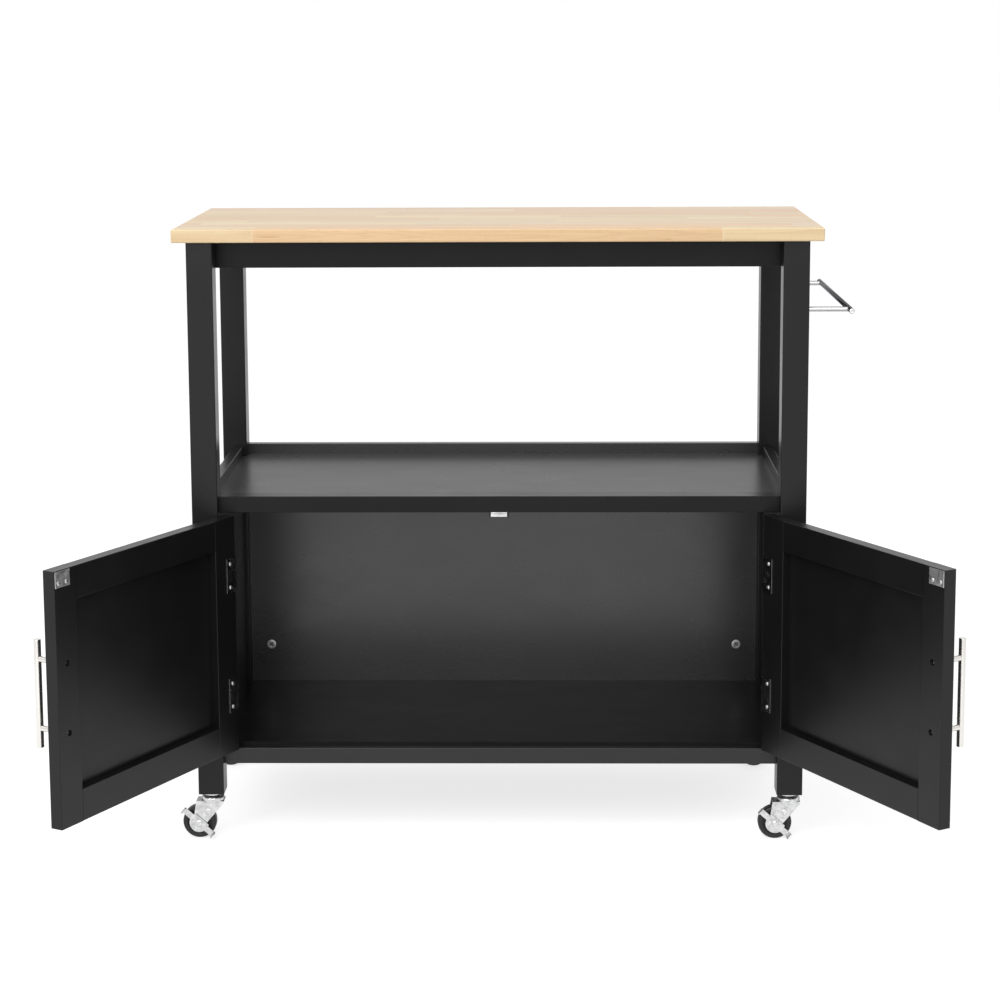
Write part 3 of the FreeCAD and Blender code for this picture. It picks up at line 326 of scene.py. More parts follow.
def moulded(name, dark, light, rough):
    """Moulded plastic or rubber with a fine spark-eroded grain and light scuffs."""
    f = Finish(name, {"IOR": 1.48, "Specular IOR Level": 0.45})
    skin = f.grain((0.0009, 0.0009, 0.0009), detail=2)
    scuff = f.grain((0.006, 0.002, 0.006), detail=4, rough=0.7, warp=0.8)
    colour = f.mix(f.ramp(scuff, (0.45, 0.0), (0.8, 1.0)), (*dark, 1), (*light, 1))
    return f.give(Base_Color=colour, Roughness=f.ramp(scuff, (0.3, rough[0]), (0.8, rough[1])),
                  Normal=f.relief(skin, 0.00004, 0.25))


PAINT = {axis: black_paint("black_paint_along_" + axis.lower(), axis) for axis in "YZ"}
PAINT_DOOR = {side: black_paint("black_paint_door_" + side, "X",
                                turn=math.radians(SIDE[side] * DOOR_ANGLE[side]))
              for side in SIDE}
# Shaded copy of the black paint for the top rails and the shelf rail: its lower shine makes them
# darker, a painted shade.
PAINT_RAIL_SHADED = black_paint("black_paint_rail_shaded", "X", shine=0.20)
# Lit copy of the black paint for the floor rail: its lighter tone and higher shine are painted light.
PAINT_LOW_RAIL_LIT = black_paint("black_paint_low_rail_lit", "X", tone=(0.0075, 0.0105), shine=0.52)
# Lit copy of the black paint for the shelf: its far lighter grey tone is a painted sheen.
PAINT_SHELF_SHEEN = black_paint("black_paint_shelf_sheen", "X", tone=(0.057, 0.066), rough=(0.27, 0.30),
                          shine=0.085, pore_relief=0.02, peel_relief=0.05)
# Lit copy of the black paint for the back panel: its lighter tone and high shine are painted light.
PAINT_PANEL_LIT = black_paint("black_paint_panel_lit", "X", tone=(0.018, 0.024), rough=(0.25, 0.31),
                          shine=0.85, pore_relief=0.004, peel_relief=0.012)
PAINT_FLOOR = black_paint("black_paint_floor", "X", rough=(0.28, 0.32), shine=0.24,
                          pore_relief=0.01, peel_relief=0.04)
STAVES = lacquered_staves()
NICKEL_UP = brushed_nickel("satin_nickel_upright")
# The bar and its posts carry different painted shade: the posts get a far darker painted outline than
# the bar.
CHROME_BAR = polished_chrome("polished_chrome_bar", 0.74, 0.58)
CHROME_POST = polished_chrome("polished_chrome_posts", 0.64, 0.08)
# Shaded copy of the satin nickel for the hinges, pins and handle screws: its darker tone is a painted
# shade that stands in for reflections of the black cabinet.
NICKEL_SHADED = brushed_nickel("satin_nickel_shaded", (0.40, 0.39, 0.38))
ZINC = bright_zinc("bright_zinc")
CAM = hollow_zinc()
ZINC_PRESSED = bright_zinc("pressed_zinc", rough=(0.22, 0.45), relief=0.9, size=0.0025)
WHEEL = moulded("moulded_wheel", (0.010, 0.010, 0.011), (0.022, 0.022, 0.023), (0.36, 0.55))
CASE = moulded("moulded_case", (0.014, 0.012, 0.011), (0.024, 0.021, 0.019), (0.40, 0.55))


def paint_node(node, finish):
    """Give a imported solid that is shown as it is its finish."""
    obj = frame["nodes"][node]
    if not obj.material_slots:
        obj.data.materials.append(finish)
    for slot in obj.material_slots:
        slot.material = finish


# Meshes
def linked(name, data):
    """New object in the scene."""
    obj = bpy.data.objects.new(name, data)
    bpy.context.scene.collection.objects.link(obj)
    return obj


def shade_smooth(mesh, sharp=None):
    """Shade a mesh as round, apart from edges that turn by more than the sharp angle in degrees."""
    for face in mesh.polygons:
        face.use_smooth = True
    if sharp is not None:
        mesh.set_sharp_from_angle(angle=math.radians(sharp))


def finished_mesh(obj):
    """Mesh of an object with its modifiers worked in."""
    graph = bpy.context.evaluated_depsgraph_get()
    return bpy.data.meshes.new_from_object(obj.evaluated_get(graph))


def add_piece(name, mesh, body, finish, stands_for=(), sharp=38):
    """Put a finished mesh in the scene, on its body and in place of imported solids."""
    if isinstance(mesh, bmesh.types.BMesh):
        built = mesh
        mesh = bpy.data.meshes.new(name)
        built.to_mesh(mesh)
        built.free()
        shade_smooth(mesh, sharp)
    obj = linked(name, mesh)
    mesh.materials.clear()
    mesh.materials.append(finish)
    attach(obj, body)
    if stands_for:
        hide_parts(*stands_for)


def turn(bm, start, axis, profile, count, ring=False):
    """Add a turned solid. Its profile is pairs of distance along the axis and radius, and a ring's
    profile closes on itself."""
    axis = Vector(axis).normalized()
    across = axis.orthogonal().normalized()
    other = axis.cross(across)
    start = Vector(start) * MM
    angles = [2 * math.pi * k / count for k in range(count)]
    spokes = [across * math.cos(a) + other * math.sin(a) for a in angles]
    rings = []
    for along, radius in profile:
        centre = start + axis * along * MM
        if radius == 0:
            rings.append([bm.verts.new(centre)])
        else:
            rings.append([bm.verts.new(centre + spoke * radius * MM) for spoke in spokes])
    faces = []
    following = rings[1:] + rings[:1] if ring else rings[1:]
    for first, second in zip(rings, following):
        for k in range(count):
            corners = [first[k % len(first)], first[(k + 1) % len(first)],
                       second[(k + 1) % len(second)], second[k % len(second)]]
            faces.append(bm.faces.new(list(dict.fromkeys(corners))))
    bmesh.ops.recalc_face_normals(bm, faces=faces)
    return bm


def arc(along, radius, size, start, stop, steps=4):
    """Points of a rounding in a profile; angles run from the axis towards larger radii."""
    angles = [math.radians(start + (stop - start) * k / steps) for k in range(steps + 1)]
    return [(along + size * math.cos(a), radius + size * math.sin(a)) for a in angles]


def mirrored(half, length=0):
    """The other half of a profile that is this long in all."""
    return [(length - along, radius) for along, radius in reversed(half)]


# Angle in radians up to which faces lie flush, corners of a plain face, distance in metres up to
# which points are one
FLUSH_ANGLE = 0.002
PLAIN_CORNERS = 6
WELD_DISTANCE = 0.000002


def flat_round(face):
    """The faces that lie flush with this one and hang together with it, in the order found."""
    flat = [face]
    for near in flat:
        for edge in near.edges:
            if len(edge.link_faces) == 2 and edge.calc_face_angle() < FLUSH_ANGLE:
                flat += [other for other in edge.link_faces if other not in flat]
    return flat


def refill_flats(bm):
    """Fill each large flat anew from its outline and holes: rounded edges can fold its faces."""
    large = [face for face in bm.faces if len(face.verts) > PLAIN_CORNERS]
    while large:
        flat = flat_round(large[0])
        large = [face for face in large if face not in flat]
        normal = max(flat, key=lambda face: face.calc_area()).normal.copy()
        outline = [edge for face in flat for edge in face.edges
                   if sum(other in flat for other in edge.link_faces) == 1]
        bmesh.ops.delete(bm, geom=flat, context="FACES_KEEP_BOUNDARY")
        filled = bmesh.ops.triangle_fill(bm, use_beauty=True, use_dissolve=False, edges=outline,
                                         normal=normal)["geom"]
        edges = [item for item in filled if isinstance(item, bmesh.types.BMEdge)]
        bmesh.ops.dissolve_limit(bm, angle_limit=math.radians(0.05), verts=[], edges=edges)
    bmesh.ops.recalc_face_normals(bm, faces=bm.faces)


def eased(node, finish, width, sharp=30, segments=2, least=0.0):
    """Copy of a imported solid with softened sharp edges, apart from those shorter than the least."""
    source = frame["nodes"][node]
    bm = bmesh.new()
    bm.from_mesh(source.data)
    bmesh.ops.remove_doubles(bm, verts=bm.verts, dist=WELD_DISTANCE)
    bmesh.ops.dissolve_limit(bm, angle_limit=math.radians(0.6), verts=bm.verts, edges=bm.edges)
    corners = [edge for edge in bm.edges if edge.calc_face_angle() > math.radians(sharp)
               and edge.calc_length() > least * MM]
    bmesh.ops.bevel(bm, geom=corners, offset=width * MM, segments=segments, profile=0.5,
                    affect="EDGES", clamp_overlap=True)
    refill_flats(bm)
    mesh = bpy.data.meshes.new(node + "_eased")
    bm.to_mesh(mesh)
    bm.free()
    shade_smooth(mesh)
    plain = linked(node + "_plain", mesh)
    even = plain.modifiers.new("even", "WEIGHTED_NORMAL")
    even.mode = "FACE_AREA"
    even.weight = 100
    finished = finished_mesh(plain)
    bpy.data.objects.remove(plain)
    add_piece(node + "_eased", finished, source["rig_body"], finish, [node])


class Door:
    """Places on a door as it stands open: s from the hinge edge, n from the outer face, z up."""

    def __init__(self, name):
        self.side = SIDE[name]
        self.turned = Matrix.Rotation(math.radians(self.side * DOOR_ANGLE[name]), 3, "Z")

    def point(self, s, n, z):
        local = Vector((-self.side * (s - PIN_INSET), n + PIN_PROUD, z))
        return Vector((self.side * PIN_X, PIN_Y, 0)) + self.turned @ local

    def inward(self):
        return self.turned @ Vector((0, 1, 0))


DOORS = {name: Door(name) for name in SIDE}


# Repeats
class Repeat:
    """A geometry tree that makes one piece and repeats it at the vertices of a mesh."""

    def __init__(self, name, numbers):
        self.tree = bpy.data.node_groups.new(name, "GeometryNodeTree")
        face = self.tree.interface
        face.new_socket("Places", in_out="INPUT", socket_type="NodeSocketGeometry")
        kinds = {**numbers, "Seed": "Int", "Finish": "Material"}
        for label, kind in kinds.items():
            face.new_socket(label, in_out="INPUT", socket_type="NodeSocket" + kind)
        face.new_socket("Made", in_out="OUTPUT", socket_type="NodeSocketGeometry")
        self.given = self.tree.nodes.new("NodeGroupInput").outputs
        self.made = self.tree.nodes.new("NodeGroupOutput").inputs[0]

    def add(self, kind, values=None, **settings):
        node = self.tree.nodes.new(kind)
        for name, value in settings.items():
            setattr(node, name, value)
        for name, value in (values or {}).items():
            for one in value if isinstance(value, list) else [value]:
                if isinstance(one, bpy.types.NodeSocket):
                    self.tree.links.new(one, node.inputs[name])
                else:
                    node.inputs[name].default_value = one
        return node.outputs[0]

    def times(self, first, second, operation="MULTIPLY"):
        return self.add("ShaderNodeMath", {0: first, 1: second}, operation=operation)

    def vector(self, x=0.0, y=0.0, z=0.0):
        return self.add("ShaderNodeCombineXYZ", {"X": x, "Y": y, "Z": z})

    def raised(self, geometry, height):
        return self.add("GeometryNodeTransform",
                        {"Geometry": geometry, "Translation": self.vector(z=height)})

    def drum(self, low, high, depth, count):
        values = {"Vertices": count, "Radius Bottom": low, "Radius Top": high, "Depth": depth}
        return self.add("GeometryNodeMeshCone", values)

    def block(self, x, y, z):
        return self.add("GeometryNodeMeshCube", {"Size": self.vector(x, y, z)})

    def finish(self, pattern):
        """Stand the pattern on every place, along the place's own direction, and make it real."""
        facing = self.add("GeometryNodeInputNamedAttribute", {"Name": "facing"},
                          data_type="FLOAT_VECTOR")
        upright = self.add("FunctionNodeAlignRotationToVector", {"Vector": facing}, axis="Z")
        chance = self.tree.nodes.new("FunctionNodeRandomValue")
        chance.data_type = "FLOAT"
        chance.inputs[3].default_value = math.pi
        self.tree.links.new(self.given["Seed"], chance.inputs["Seed"])
        spin = self.add("FunctionNodeEulerToRotation", {0: self.vector(z=chance.outputs[1])})
        rotation = self.add("FunctionNodeRotateRotation",
                            {"Rotation": upright, "Rotate By": spin}, rotation_space="LOCAL")
        stood = self.add("GeometryNodeInstanceOnPoints", {"Points": self.given["Places"],
                                                          "Instance": pattern,
                                                          "Rotation": rotation})
        real = self.add("GeometryNodeRealizeInstances", {"Geometry": stood})
        coated = self.add("GeometryNodeSetMaterial",
                          {"Geometry": real, "Material": self.given["Finish"]})
        self.tree.links.new(coated, self.made)
        return self

    def make(self, name, places, values):
        """Plain mesh of the pattern at (point in mm, direction) places."""
        mesh = bpy.data.meshes.new(name)
        mesh.from_pydata([Vector(point) * MM for point, _ in places], [], [])
        facing = mesh.attributes.new("facing", "FLOAT_VECTOR", "POINT")
        directions = [c for _, direction in places for c in Vector(direction)]
        facing.data.foreach_set("vector", directions)
        obj = linked(name + "_places", mesh)
        modifier = obj.modifiers.new("repeat", "NODES")
        modifier.node_group = self.tree
        for item in self.tree.interface.items_tree:
            if item.item_type == "SOCKET" and item.in_out == "INPUT" and item.name in values:
                modifier[item.identifier] = values[item.name]
        made = finished_mesh(obj)
        made.name = name
        obj.modifiers.clear()
        bpy.data.objects.remove(obj)
        for attribute in [a for a in made.attributes if a.name == "facing"]:
            made.attributes.remove(attribute)
        shade_smooth(made, sharp=32)
        return made


HEAD_SIDES, SHANK_SIDES = 28, 14


def crosshead_screw():
    """Screw with its bearing face at the place: domed head, crossed recess, threaded shank."""
    r = Repeat("crosshead_screw", {"Head radius": "Float", "Head height": "Float",
                                   "Shank radius": "Float", "Length": "Float", "Pitch": "Float"})
    head, height = r.given["Head radius"], r.given["Head height"]
    shank, length, pitch = r.given["Shank radius"], r.given["Length"], r.given["Pitch"]
    shoulder = r.times(head, 0.8)
    rim = r.drum(head, head, r.times(height, 0.45), HEAD_SIDES)
    dome = r.raised(r.drum(head, shoulder, r.times(height, 0.4), HEAD_SIDES),
                    r.times(height, 0.44))
    crown = r.raised(r.drum(shoulder, r.times(head, 0.45), r.times(height, 0.16), HEAD_SIDES),
                     r.times(height, 0.83))
    solid = r.add("GeometryNodeMeshBoolean", {"Mesh 2": [rim, dome, crown]},
                  operation="UNION", solver="MANIFOLD")
    long, narrow = r.times(head, 1.15), r.times(head, 0.24)
    arms = [r.raised(r.block(x, y, height), height) for x, y in ((long, narrow), (narrow, long))]
    recessed = r.add("GeometryNodeMeshBoolean", {"Mesh 1": solid, "Mesh 2": arms},
                     operation="DIFFERENCE", solver="MANIFOLD")
    core = r.raised(r.drum(r.times(shank, 0.4), r.times(shank, 0.8), length, SHANK_SIDES),
                    r.times(length, -1.0))
    turns = r.times(r.times(length, pitch, "DIVIDE"), 1.5, "SUBTRACT")
    line = r.add("GeometryNodeMeshLine", {"Count": turns,
                                          "Start Location": r.vector(z=r.times(pitch, -1.6)),
                                          "Offset": r.vector(z=r.times(pitch, -1.0))})
    flank = r.drum(r.times(shank, 0.6), shank, r.times(pitch, 0.55), SHANK_SIDES)
    thread = r.add("GeometryNodeInstanceOnPoints", {"Points": line, "Instance": flank})
    return r.finish(r.add("GeometryNodeJoinGeometry", {"Geometry": [recessed, core, thread]}))


def wheel_ribs():
    """Ring of ribs that stands in the recess at a wheel's side."""
    r = Repeat("wheel_ribs", {"Count": "Int", "Inner radius": "Float", "Outer radius": "Float",
                              "Thickness": "Float", "Depth": "Float"})
    inner, outer, depth = r.given["Inner radius"], r.given["Outer radius"], r.given["Depth"]
    middle = r.times(r.times(inner, outer, "ADD"), 0.5)
    circle = r.add("GeometryNodeMeshCircle", {"Vertices": r.given["Count"], "Radius": middle})
    rib = r.block(r.times(outer, inner, "SUBTRACT"), r.given["Thickness"], depth)
    outward = r.add("FunctionNodeAlignRotationToVector",
                    {"Vector": r.add("GeometryNodeInputPosition")}, axis="X")
    return r.finish(r.add("GeometryNodeInstanceOnPoints",
                          {"Points": circle, "Instance": r.raised(rib, r.times(depth, 0.5)),
                           "Rotation": outward}))


SCREW = crosshead_screw()
RIBS = wheel_ribs()


# Cabinet and frame, shown as packed
def finish_woodwork():
    paint_node("worktop", STAVES)
    for corner in CORNERS:
        paint_node("leg_" + corner, PAINT["Z"])
    for node in ("top_rail_front", "top_rail_rear", "shelf_front_rail"):
        paint_node(node, PAINT_RAIL_SHADED)
    paint_node("floor_front_rail", PAINT_LOW_RAIL_LIT)
    paint_node("shelf_board", PAINT_SHELF_SHEEN)
    paint_node("floor_board", PAINT_FLOOR)
    paint_node("back_panel", PAINT_PANEL_LIT)
    for side in SIDE:
        for node in ("top_rail_", "side_panel_"):
            paint_node(node + side, PAINT["Y"])
        for node in ("door_hinge_stile_", "door_free_stile_"):
            paint_node(node + side, PAINT["Z"])
        for node in ("door_top_rail_", "door_bottom_rail_", "door_panel_"):
            paint_node(node + side, PAINT_DOOR[side])


# Screws: head radius, head height, shank radius and length of each kind
WORKTOP_SCREW = (4, 2.3, 2, 51.4)
FRAME_SCREW = (2.8, 0.9, 1.2, 10.4)
DOOR_SCREW = (3, 1.3, 1.2, 11.8)
HANDLE_SCREW = (4.2, 2.4, 2, 27)
SCREW_PITCH = 0.9


def screws(name, places, kind, body, finish, node, seed):
    """Screws of one kind at (point under the head, direction that the head faces) places."""
    labels = ("Head radius", "Head height", "Shank radius", "Length", "Pitch")
    values = {label: size * MM for label, size in zip(labels, (*kind, SCREW_PITCH))}
    values.update({"Seed": seed, "Finish": finish})
    add_piece(name, SCREW.make(name, places, values), body, finish, [node])


def finish_worktop_screws():
    across, front, back, head = 424.5, -139, 186, 856.4
    spots = [(x, y) for y in (front, back) for x in (-300, 0, 300)] + [(-across, 0), (across, 0)]
    screws("worktop_screw_set", [((x, y, head), (0, 0, -1)) for x, y in spots],
           WORKTOP_SCREW, "cart", ZINC, "worktop_screws", 3)


def finish_frame_screws():
    leaf_x, leaf_y = 411, -169.5
    ear_x, ear_y, ear_z = 18, -141.5, 503
    places = [((side * leaf_x, leaf_y, z), (-side, 0, 0))
              for side in SIDE.values() for z in HINGE_SCREWS]
    places += [((side * ear_x, ear_y, ear_z), (0, 0, -1)) for side in SIDE.values()]
    screws("frame_screw_set", places, FRAME_SCREW, "cart", ZINC, "frame_screws", 5)


def finish_door_screws():
    leaf_s, strike_apart, strike_z, counterbore = 13.5, 8, 476.8, 6
    strike_s = DOOR_WIDTH - STRIKE_MARGIN - STRIKE_WIDTH / 2
    spots = [(leaf_s, z) for z in HINGE_SCREWS]
    spots += [(strike_s - strike_apart, strike_z), (strike_s + strike_apart, strike_z)]
    for name, door in DOORS.items():
        inward = door.inward()
        places = [(door.point(s, DOOR_THICK + PLATE_THICK, z), inward) for s, z in spots]
        screws("door_screw_set_" + name, places, DOOR_SCREW, "door_" + name, ZINC,
               "door_small_screws_" + name, 11)
        places = [(door.point(DOOR_WIDTH - HANDLE_INSET, DOOR_THICK - counterbore, z), inward)
                  for z in POST_HEIGHTS]
        screws("handle_screw_set_" + name, places, HANDLE_SCREW, "door_" + name, NICKEL_SHADED,
               "door_handle_screws_" + name, 23)


def finish_cams():
    """Cam fasteners in the back panel: a rim round a recess that holds a dark cross of moulded rods,
    a painted shade of the cross slot.
    """
    rims, slot_shade_rods = bmesh.new(), bmesh.new()
    rim = [(0, 0), (0, 7.2), (0.4, 7.5), (10.4, 7.5)] + arc(10.2, 6.9, 0.6, 90, 0, 3)
    rim += [(10.8, 5)] + arc(10.3, 4.7, 0.4, 60, 0, 3) + [(8.6, 4.4), (8.6, 0)]
    drive_y, reach, radius = 180.75, 3.9, 0.75
    drive = [(0, 0), (0, radius), (2 * reach, radius), (2 * reach, 0)]
    for side in SIDE.values():
        turn(rims, (side * CAM_X, CAM_BACK, CAM_HEIGHT), (0, -1, 0), rim, count=48)
        for turned in (math.radians(45), math.radians(135)):
            tip = Vector((math.cos(turned), 0, math.sin(turned))) * reach
            turn(slot_shade_rods, Vector((side * CAM_X, drive_y, CAM_HEIGHT)) - tip, tip, drive, count=10)
    add_piece("cam_rim_set", rims, "cart", CAM, ["cam_locks"])
    # The dark cross is painted shade: dark rods lie on the recess floor, where the cam's cross slot
    # is in shade.
    add_piece("cam_slot_shade_set", slot_shade_rods, "cart", CASE)
    paint_node("cam_bolts", ZINC)


# Bar handles and the towel bar
def add_bar(name, start, axis, length, radius, body, finish, node, ease=0.9):
    """Round bar with eased ends."""
    end = [(0, 0)] + arc(ease, radius - ease, ease, 180, 90)
    bm = turn(bmesh.new(), start, axis, end + mirrored(end, length), count=48)
    add_piece(name, bm, body, finish, [node])


def add_posts(name, posts, radius, body, finish):
    """Posts as (start, end); each flares a little where it meets its wood."""
    bm = bmesh.new()
    flare = radius + 0.5
    for start, stop in posts:
        start, stop = Vector(start), Vector(stop)
        reach = (stop - start).length
        profile = [(0, 0), (0, radius), (reach - 1.6, radius), (reach - 1.3, flare),
                   (reach - 0.3, flare), (reach, radius + 0.3), (reach, 0)]
        turn(bm, start, stop - start, profile, count=36)
    add_piece(name, bm, body, finish)


def finish_bars():
    for name, door in DOORS.items():
        s, body = DOOR_WIDTH - HANDLE_INSET, "door_" + name
        low_end = door.point(s, -HANDLE_REACH, DOOR_MIDDLE - HANDLE_LENGTH / 2)
        add_bar("bar_handle_" + name, low_end, (0, 0, 1), HANDLE_LENGTH, HANDLE_RADIUS, body,
                NICKEL_UP, "door_handle_" + name)
        posts = [(door.point(s, -HANDLE_REACH, z), door.point(s, 0, z)) for z in POST_HEIGHTS]
        add_posts("bar_handle_posts_" + name, posts, HANDLE_POST_RADIUS, body, NICKEL_UP)
    add_bar("towel_bar_rod", (TOWEL_X, -TOWEL_LENGTH / 2, TOWEL_HEIGHT), (0, 1, 0), TOWEL_LENGTH,
            TOWEL_RADIUS, "cart", CHROME_BAR, "towel_bar", ease=1.6)
    posts = [((TOWEL_X, y, TOWEL_HEIGHT), (LEG_OUTSIDE, y, TOWEL_HEIGHT))
             for y in (-TOWEL_POST_Y, TOWEL_POST_Y)]
    add_posts("towel_bar_posts", posts, TOWEL_POST_RADIUS, "cart", CHROME_POST)


# Hinges, strike plates and catch
def finish_hinges():
    eased("hinge_frame_leaves", NICKEL_SHADED, width=0.18, sharp=34)
    pins = bmesh.new()
    button = 1.6
    end = [(0, 0)] + arc(0.9, 1.7, 0.9, 180, 90) + [(button, 2.6), (button, 1.5)]
    pin = end + mirrored(end, 2 * (HINGE_HALF_HEIGHT + button))
    for side in SIDE.values():
        for middle in HINGE_MIDDLES:
            low = middle - HINGE_HALF_HEIGHT - button
            turn(pins, (side * PIN_X, PIN_Y, low), (0, 0, 1), pin, count=28)
    add_piece("hinge_pin_set", pins, "cart", NICKEL_SHADED, ["hinge_pins"])
    for name in DOORS:
        eased("door_hinge_leaves_" + name, NICKEL_SHADED, width=0.2, sharp=34)
        eased("door_strike_plate_" + name, ZINC_PRESSED, width=0.35, sharp=34, least=0.45)
    eased("catch_case", CASE, width=0.6, least=0.45)
    eased("catch_poles", ZINC, width=0.2)


# Casters
def middle_of(node):
    low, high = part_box(node)
    return (low + high) / 2 / MM


def finish_stems():
    """Stems from the riveted end under the fork up through the leg's flange into the leg."""
    stems = bmesh.new()
    stem = [(0, 0)] + arc(0.8, 7.2, 0.8, 180, 90, 3) + [(2, 8), (2, 4.5), (5.1, 4.5), (5.1, 9)]
    stem += [(6.6, 9)] + arc(7.4, 13.2, 0.8, 180, 90, 3)
    stem += [(9.2, 14), (9.8, 13.4), (10.6, 13.4), (10.6, 6.5), (12.6, 6.5), (12.6, 4.5),
             (46, 4.5), (48.2, 3.2), (48.2, 0)]
    for corner in CORNERS:
        x, y, _ = middle_of("leg_" + corner)
        turn(stems, (x, y, STEM_LOW), (0, 0, 1), stem, count=56)
    add_piece("caster_stem_set", stems, "cart", ZINC, ["caster_stems"])


def finish_fork(corner):
    """Fork with a pressed dimple on each cheek, and a front one's brake lever."""
    eased("caster_fork_" + corner, ZINC, width=0.4, sharp=34)
    dimples = bmesh.new()
    dimple = [(-0.6, 0), (-0.6, 4.9), (0, 4.6), (0.45, 3.8), (0.75, 2.2), (0.85, 0)]
    back, cheek, height = 6, 11.6, 42
    x, y, _ = middle_of("leg_" + corner)
    for side in (-1, 1):
        turn(dimples, (x - back, y + side * cheek, height), (0, side, 0), dimple, count=32)
    add_piece("fork_dimples_" + corner, dimples, "fork_" + corner, ZINC, sharp=60)
    if corner.startswith("front"):
        eased("caster_brake_" + corner, ZINC, width=0.6, sharp=34, segments=3)


def finish_wheel(corner, centre):
    """Moulded wheel: crowned tread with two fine grooves, rim, recessed web, ribs, bored hub."""
    half = WHEEL_HALF_WIDTH
    outer = [(2.7, 25), (2.9, 24.5), (3.4, 24.5), (3.6, 25)] + arc(half - 4, 21, 4, 80, 0, 5)
    outer += [(half, 20.6), (half, 18.2), (half - 0.4, 17.5), (half - 2, 17.2), (half - 2, 7.6),
              (half - 1.6, 7), (9.3, 7), (9.6, 6.6), (9.6, 3.08)]
    body = "wheel_" + corner
    bm = turn(bmesh.new(), centre, (0, 1, 0), mirrored(outer) + outer, count=72, ring=True)
    add_piece("wheel_" + corner, bm, body, WHEEL, ["caster_wheel_" + corner],
              sharp=30)
    places = [(centre + Vector((0, sign * 6.4, 0)), (0, sign, 0)) for sign in (-1, 1)]
    values = {"Count": 9, "Inner radius": 6.8 * MM, "Outer radius": 17.3 * MM,
              "Thickness": 1.2 * MM, "Depth": 1.5 * MM, "Seed": 2, "Finish": WHEEL}
    name = "wheel_ribs_" + corner
    add_piece(name, RIBS.make(name, places, values), body, WHEEL)


def finish_axle(corner, centre):
    """Riveted axle with domed heads; a front one also holds the brake lever."""
    low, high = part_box("caster_axle_" + corner)
    head = [(0, 0), (0, 2.2), (0.35, 3.8), (0.9, 4.8), (1.6, 5), (1.6, 3)]
    profile = head + mirrored(head, (high.y - low.y) / MM)
    bm = turn(bmesh.new(), (centre.x, low.y / MM, centre.z), (0, 1, 0), profile, count=32)
    add_piece("axle_" + corner, bm, "fork_" + corner, ZINC, ["caster_axle_" + corner])


def finish_casters():
    for corner in CORNERS:
        centre = middle_of("caster_wheel_" + corner)
        finish_wheel(corner, centre)
        finish_axle(corner, centre)
        finish_fork(corner)
    finish_stems()


finish_woodwork()
finish_worktop_screws()
finish_frame_screws()
finish_door_screws()
finish_cams()
finish_bars()
finish_hinges()
finish_casters()


# Floor, light and camera
BOUNCED_WORLD, SEEN_WORLD = 0.5, 1.0
FLOOR_REACH, FLOOR_DROP = 30, 0.0004
FLOOR_TONE, FLOOR_GLOW = 0.62, 0.71
SENSOR_WIDTH = 36


def seen_share(tree):
    """1 for what the camera, a gloss or a clear piece sees, and 0 for light that bounces."""
    path = tree.nodes.new("ShaderNodeLightPath")
    total = path.outputs["Is Camera Ray"]
    for ray in ("Is Glossy Ray", "Is Transmission Ray"):
        most = tree.nodes.new("ShaderNodeMath")
        most.operation = "MAXIMUM"
        tree.links.new(total, most.inputs[0])
        tree.links.new(path.outputs[ray], most.inputs[1])
        total = most.outputs[0]
    return total


def set_world():
    world = bpy.data.worlds.new("studio")
    bpy.context.scene.world = world
    world.use_nodes = True
    tree = world.node_tree
    strength = tree.nodes.new("ShaderNodeMix")
    strength.data_type = "FLOAT"
    strength.inputs[2].default_value = BOUNCED_WORLD
    strength.inputs[3].default_value = SEEN_WORLD
    tree.links.new(seen_share(tree), strength.inputs[0])
    tree.links.new(strength.outputs[0], tree.nodes["Background"].inputs["Strength"])
    tree.nodes["Background"].inputs["Color"].default_value = (1, 1, 1, 1)


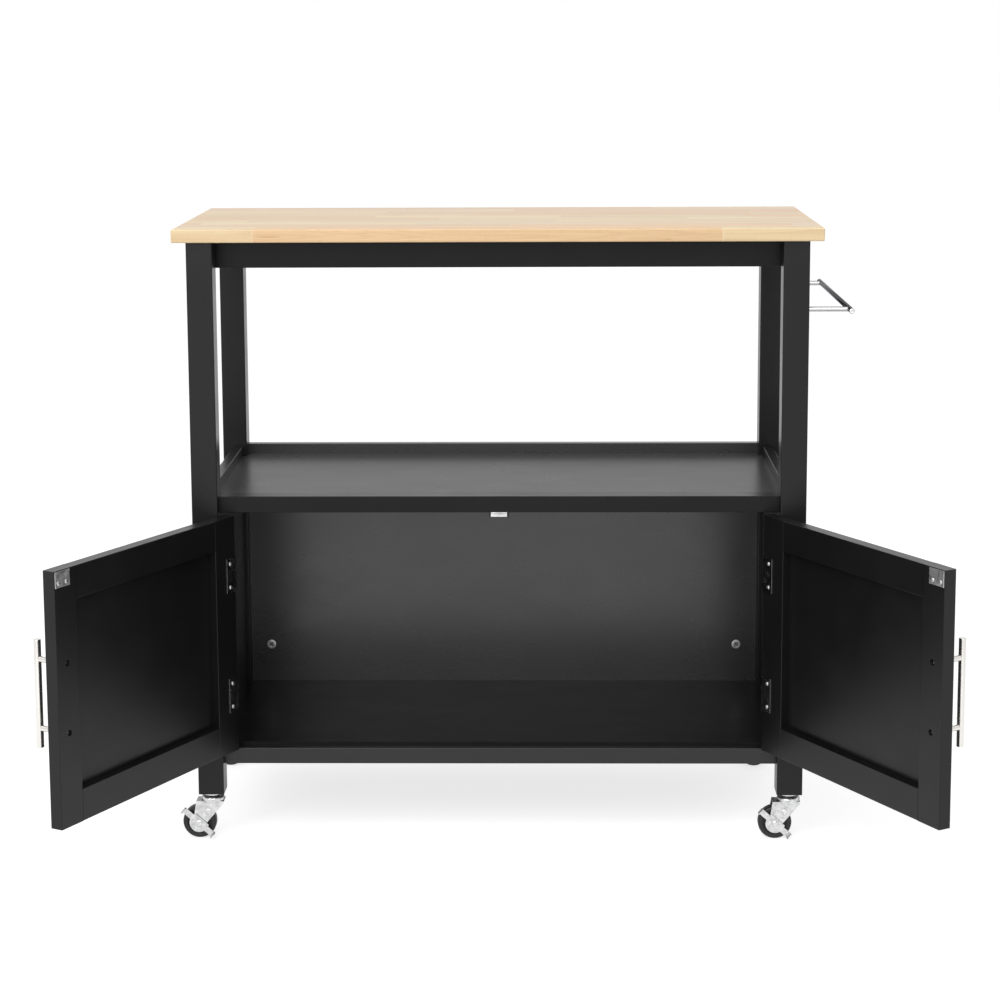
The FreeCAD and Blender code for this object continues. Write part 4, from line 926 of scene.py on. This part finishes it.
def set_floor():
    """White floor that keeps the shadow: part of what is seen is its own light, the rest is lit."""
    mesh = bpy.data.meshes.new("floor")
    corners = [(x * FLOOR_REACH, y * FLOOR_REACH, -FLOOR_DROP)
               for x, y in ((-1, -1), (1, -1), (1, 1), (-1, 1))]
    mesh.from_pydata(corners, [], [(0, 1, 2, 3)])
    floor = linked("floor", mesh)
    material = bpy.data.materials.new("floor_white")
    material.use_nodes = True
    tree = material.node_tree
    shader = tree.nodes["Principled BSDF"]
    shader.inputs["Base Color"].default_value = (FLOOR_TONE, FLOOR_TONE, FLOOR_TONE, 1)
    shader.inputs["Roughness"].default_value = 0.9
    shader.inputs["Specular IOR Level"].default_value = 0.0
    glow = tree.nodes.new("ShaderNodeEmission")
    glow.inputs["Color"].default_value = (1, 1, 1, 1)
    scaled = tree.nodes.new("ShaderNodeMath")
    scaled.operation = "MULTIPLY"
    scaled.inputs[1].default_value = FLOOR_GLOW
    tree.links.new(seen_share(tree), scaled.inputs[0])
    tree.links.new(scaled.outputs[0], glow.inputs["Strength"])
    both = tree.nodes.new("ShaderNodeAddShader")
    tree.links.new(shader.outputs[0], both.inputs[0])
    tree.links.new(glow.outputs[0], both.inputs[1])
    tree.links.new(both.outputs[0], tree.nodes["Material Output"].inputs["Surface"])
    mesh.materials.append(material)


def softbox(name, place, target, size, power):
    lamp = bpy.data.lights.new(name, "AREA")
    lamp.shape = "SQUARE"
    lamp.size = size
    lamp.energy = power
    obj = linked(name, lamp)
    obj.location = place
    obj.rotation_mode = "QUATERNION"
    obj.rotation_quaternion = (Vector(target) - Vector(place)).to_track_quat("-Z", "Y")


def set_camera(place, yaw, pitch, roll, focal, rise):
    """Angles in degrees, place in metres, focal length and rise in thousandths of the width."""
    data = bpy.data.cameras.new("camera")
    camera = linked("camera", data)
    data.sensor_width = SENSOR_WIDTH
    data.lens = focal * SENSOR_WIDTH / 1000
    data.shift_y = -rise / 1000
    y, p, r = (math.radians(a) for a in (yaw, pitch, roll))
    ahead = Vector((math.sin(y) * math.cos(p), math.cos(y) * math.cos(p), -math.sin(p)))
    right = Vector((math.cos(y), -math.sin(y), 0))
    up = right.cross(ahead)
    leaning = right * math.cos(r) + up * math.sin(r)
    upright = up * math.cos(r) - right * math.sin(r)
    turned = Matrix((leaning, upright, -ahead)).transposed().to_4x4()
    camera.matrix_world = Matrix.Translation(place) @ turned
    data.clip_end = 100
    bpy.context.scene.camera = camera


set_world()
set_floor()
softbox("front_softbox", place=(-0.9, -3.2, 2.7), target=(0, 0, 0.35), size=3.8, power=122)
softbox("top_softbox", place=(0.6, 0.2, 3.4), target=(0, 0, 0.5), size=2.6, power=6)
set_camera(place=(0.0653, -3.5553, 1.1986), yaw=-1.058, pitch=8.520, roll=-0.263, focal=2348.2,
           rise=120)
bpy.context.scene.view_settings.view_transform = "Standard"
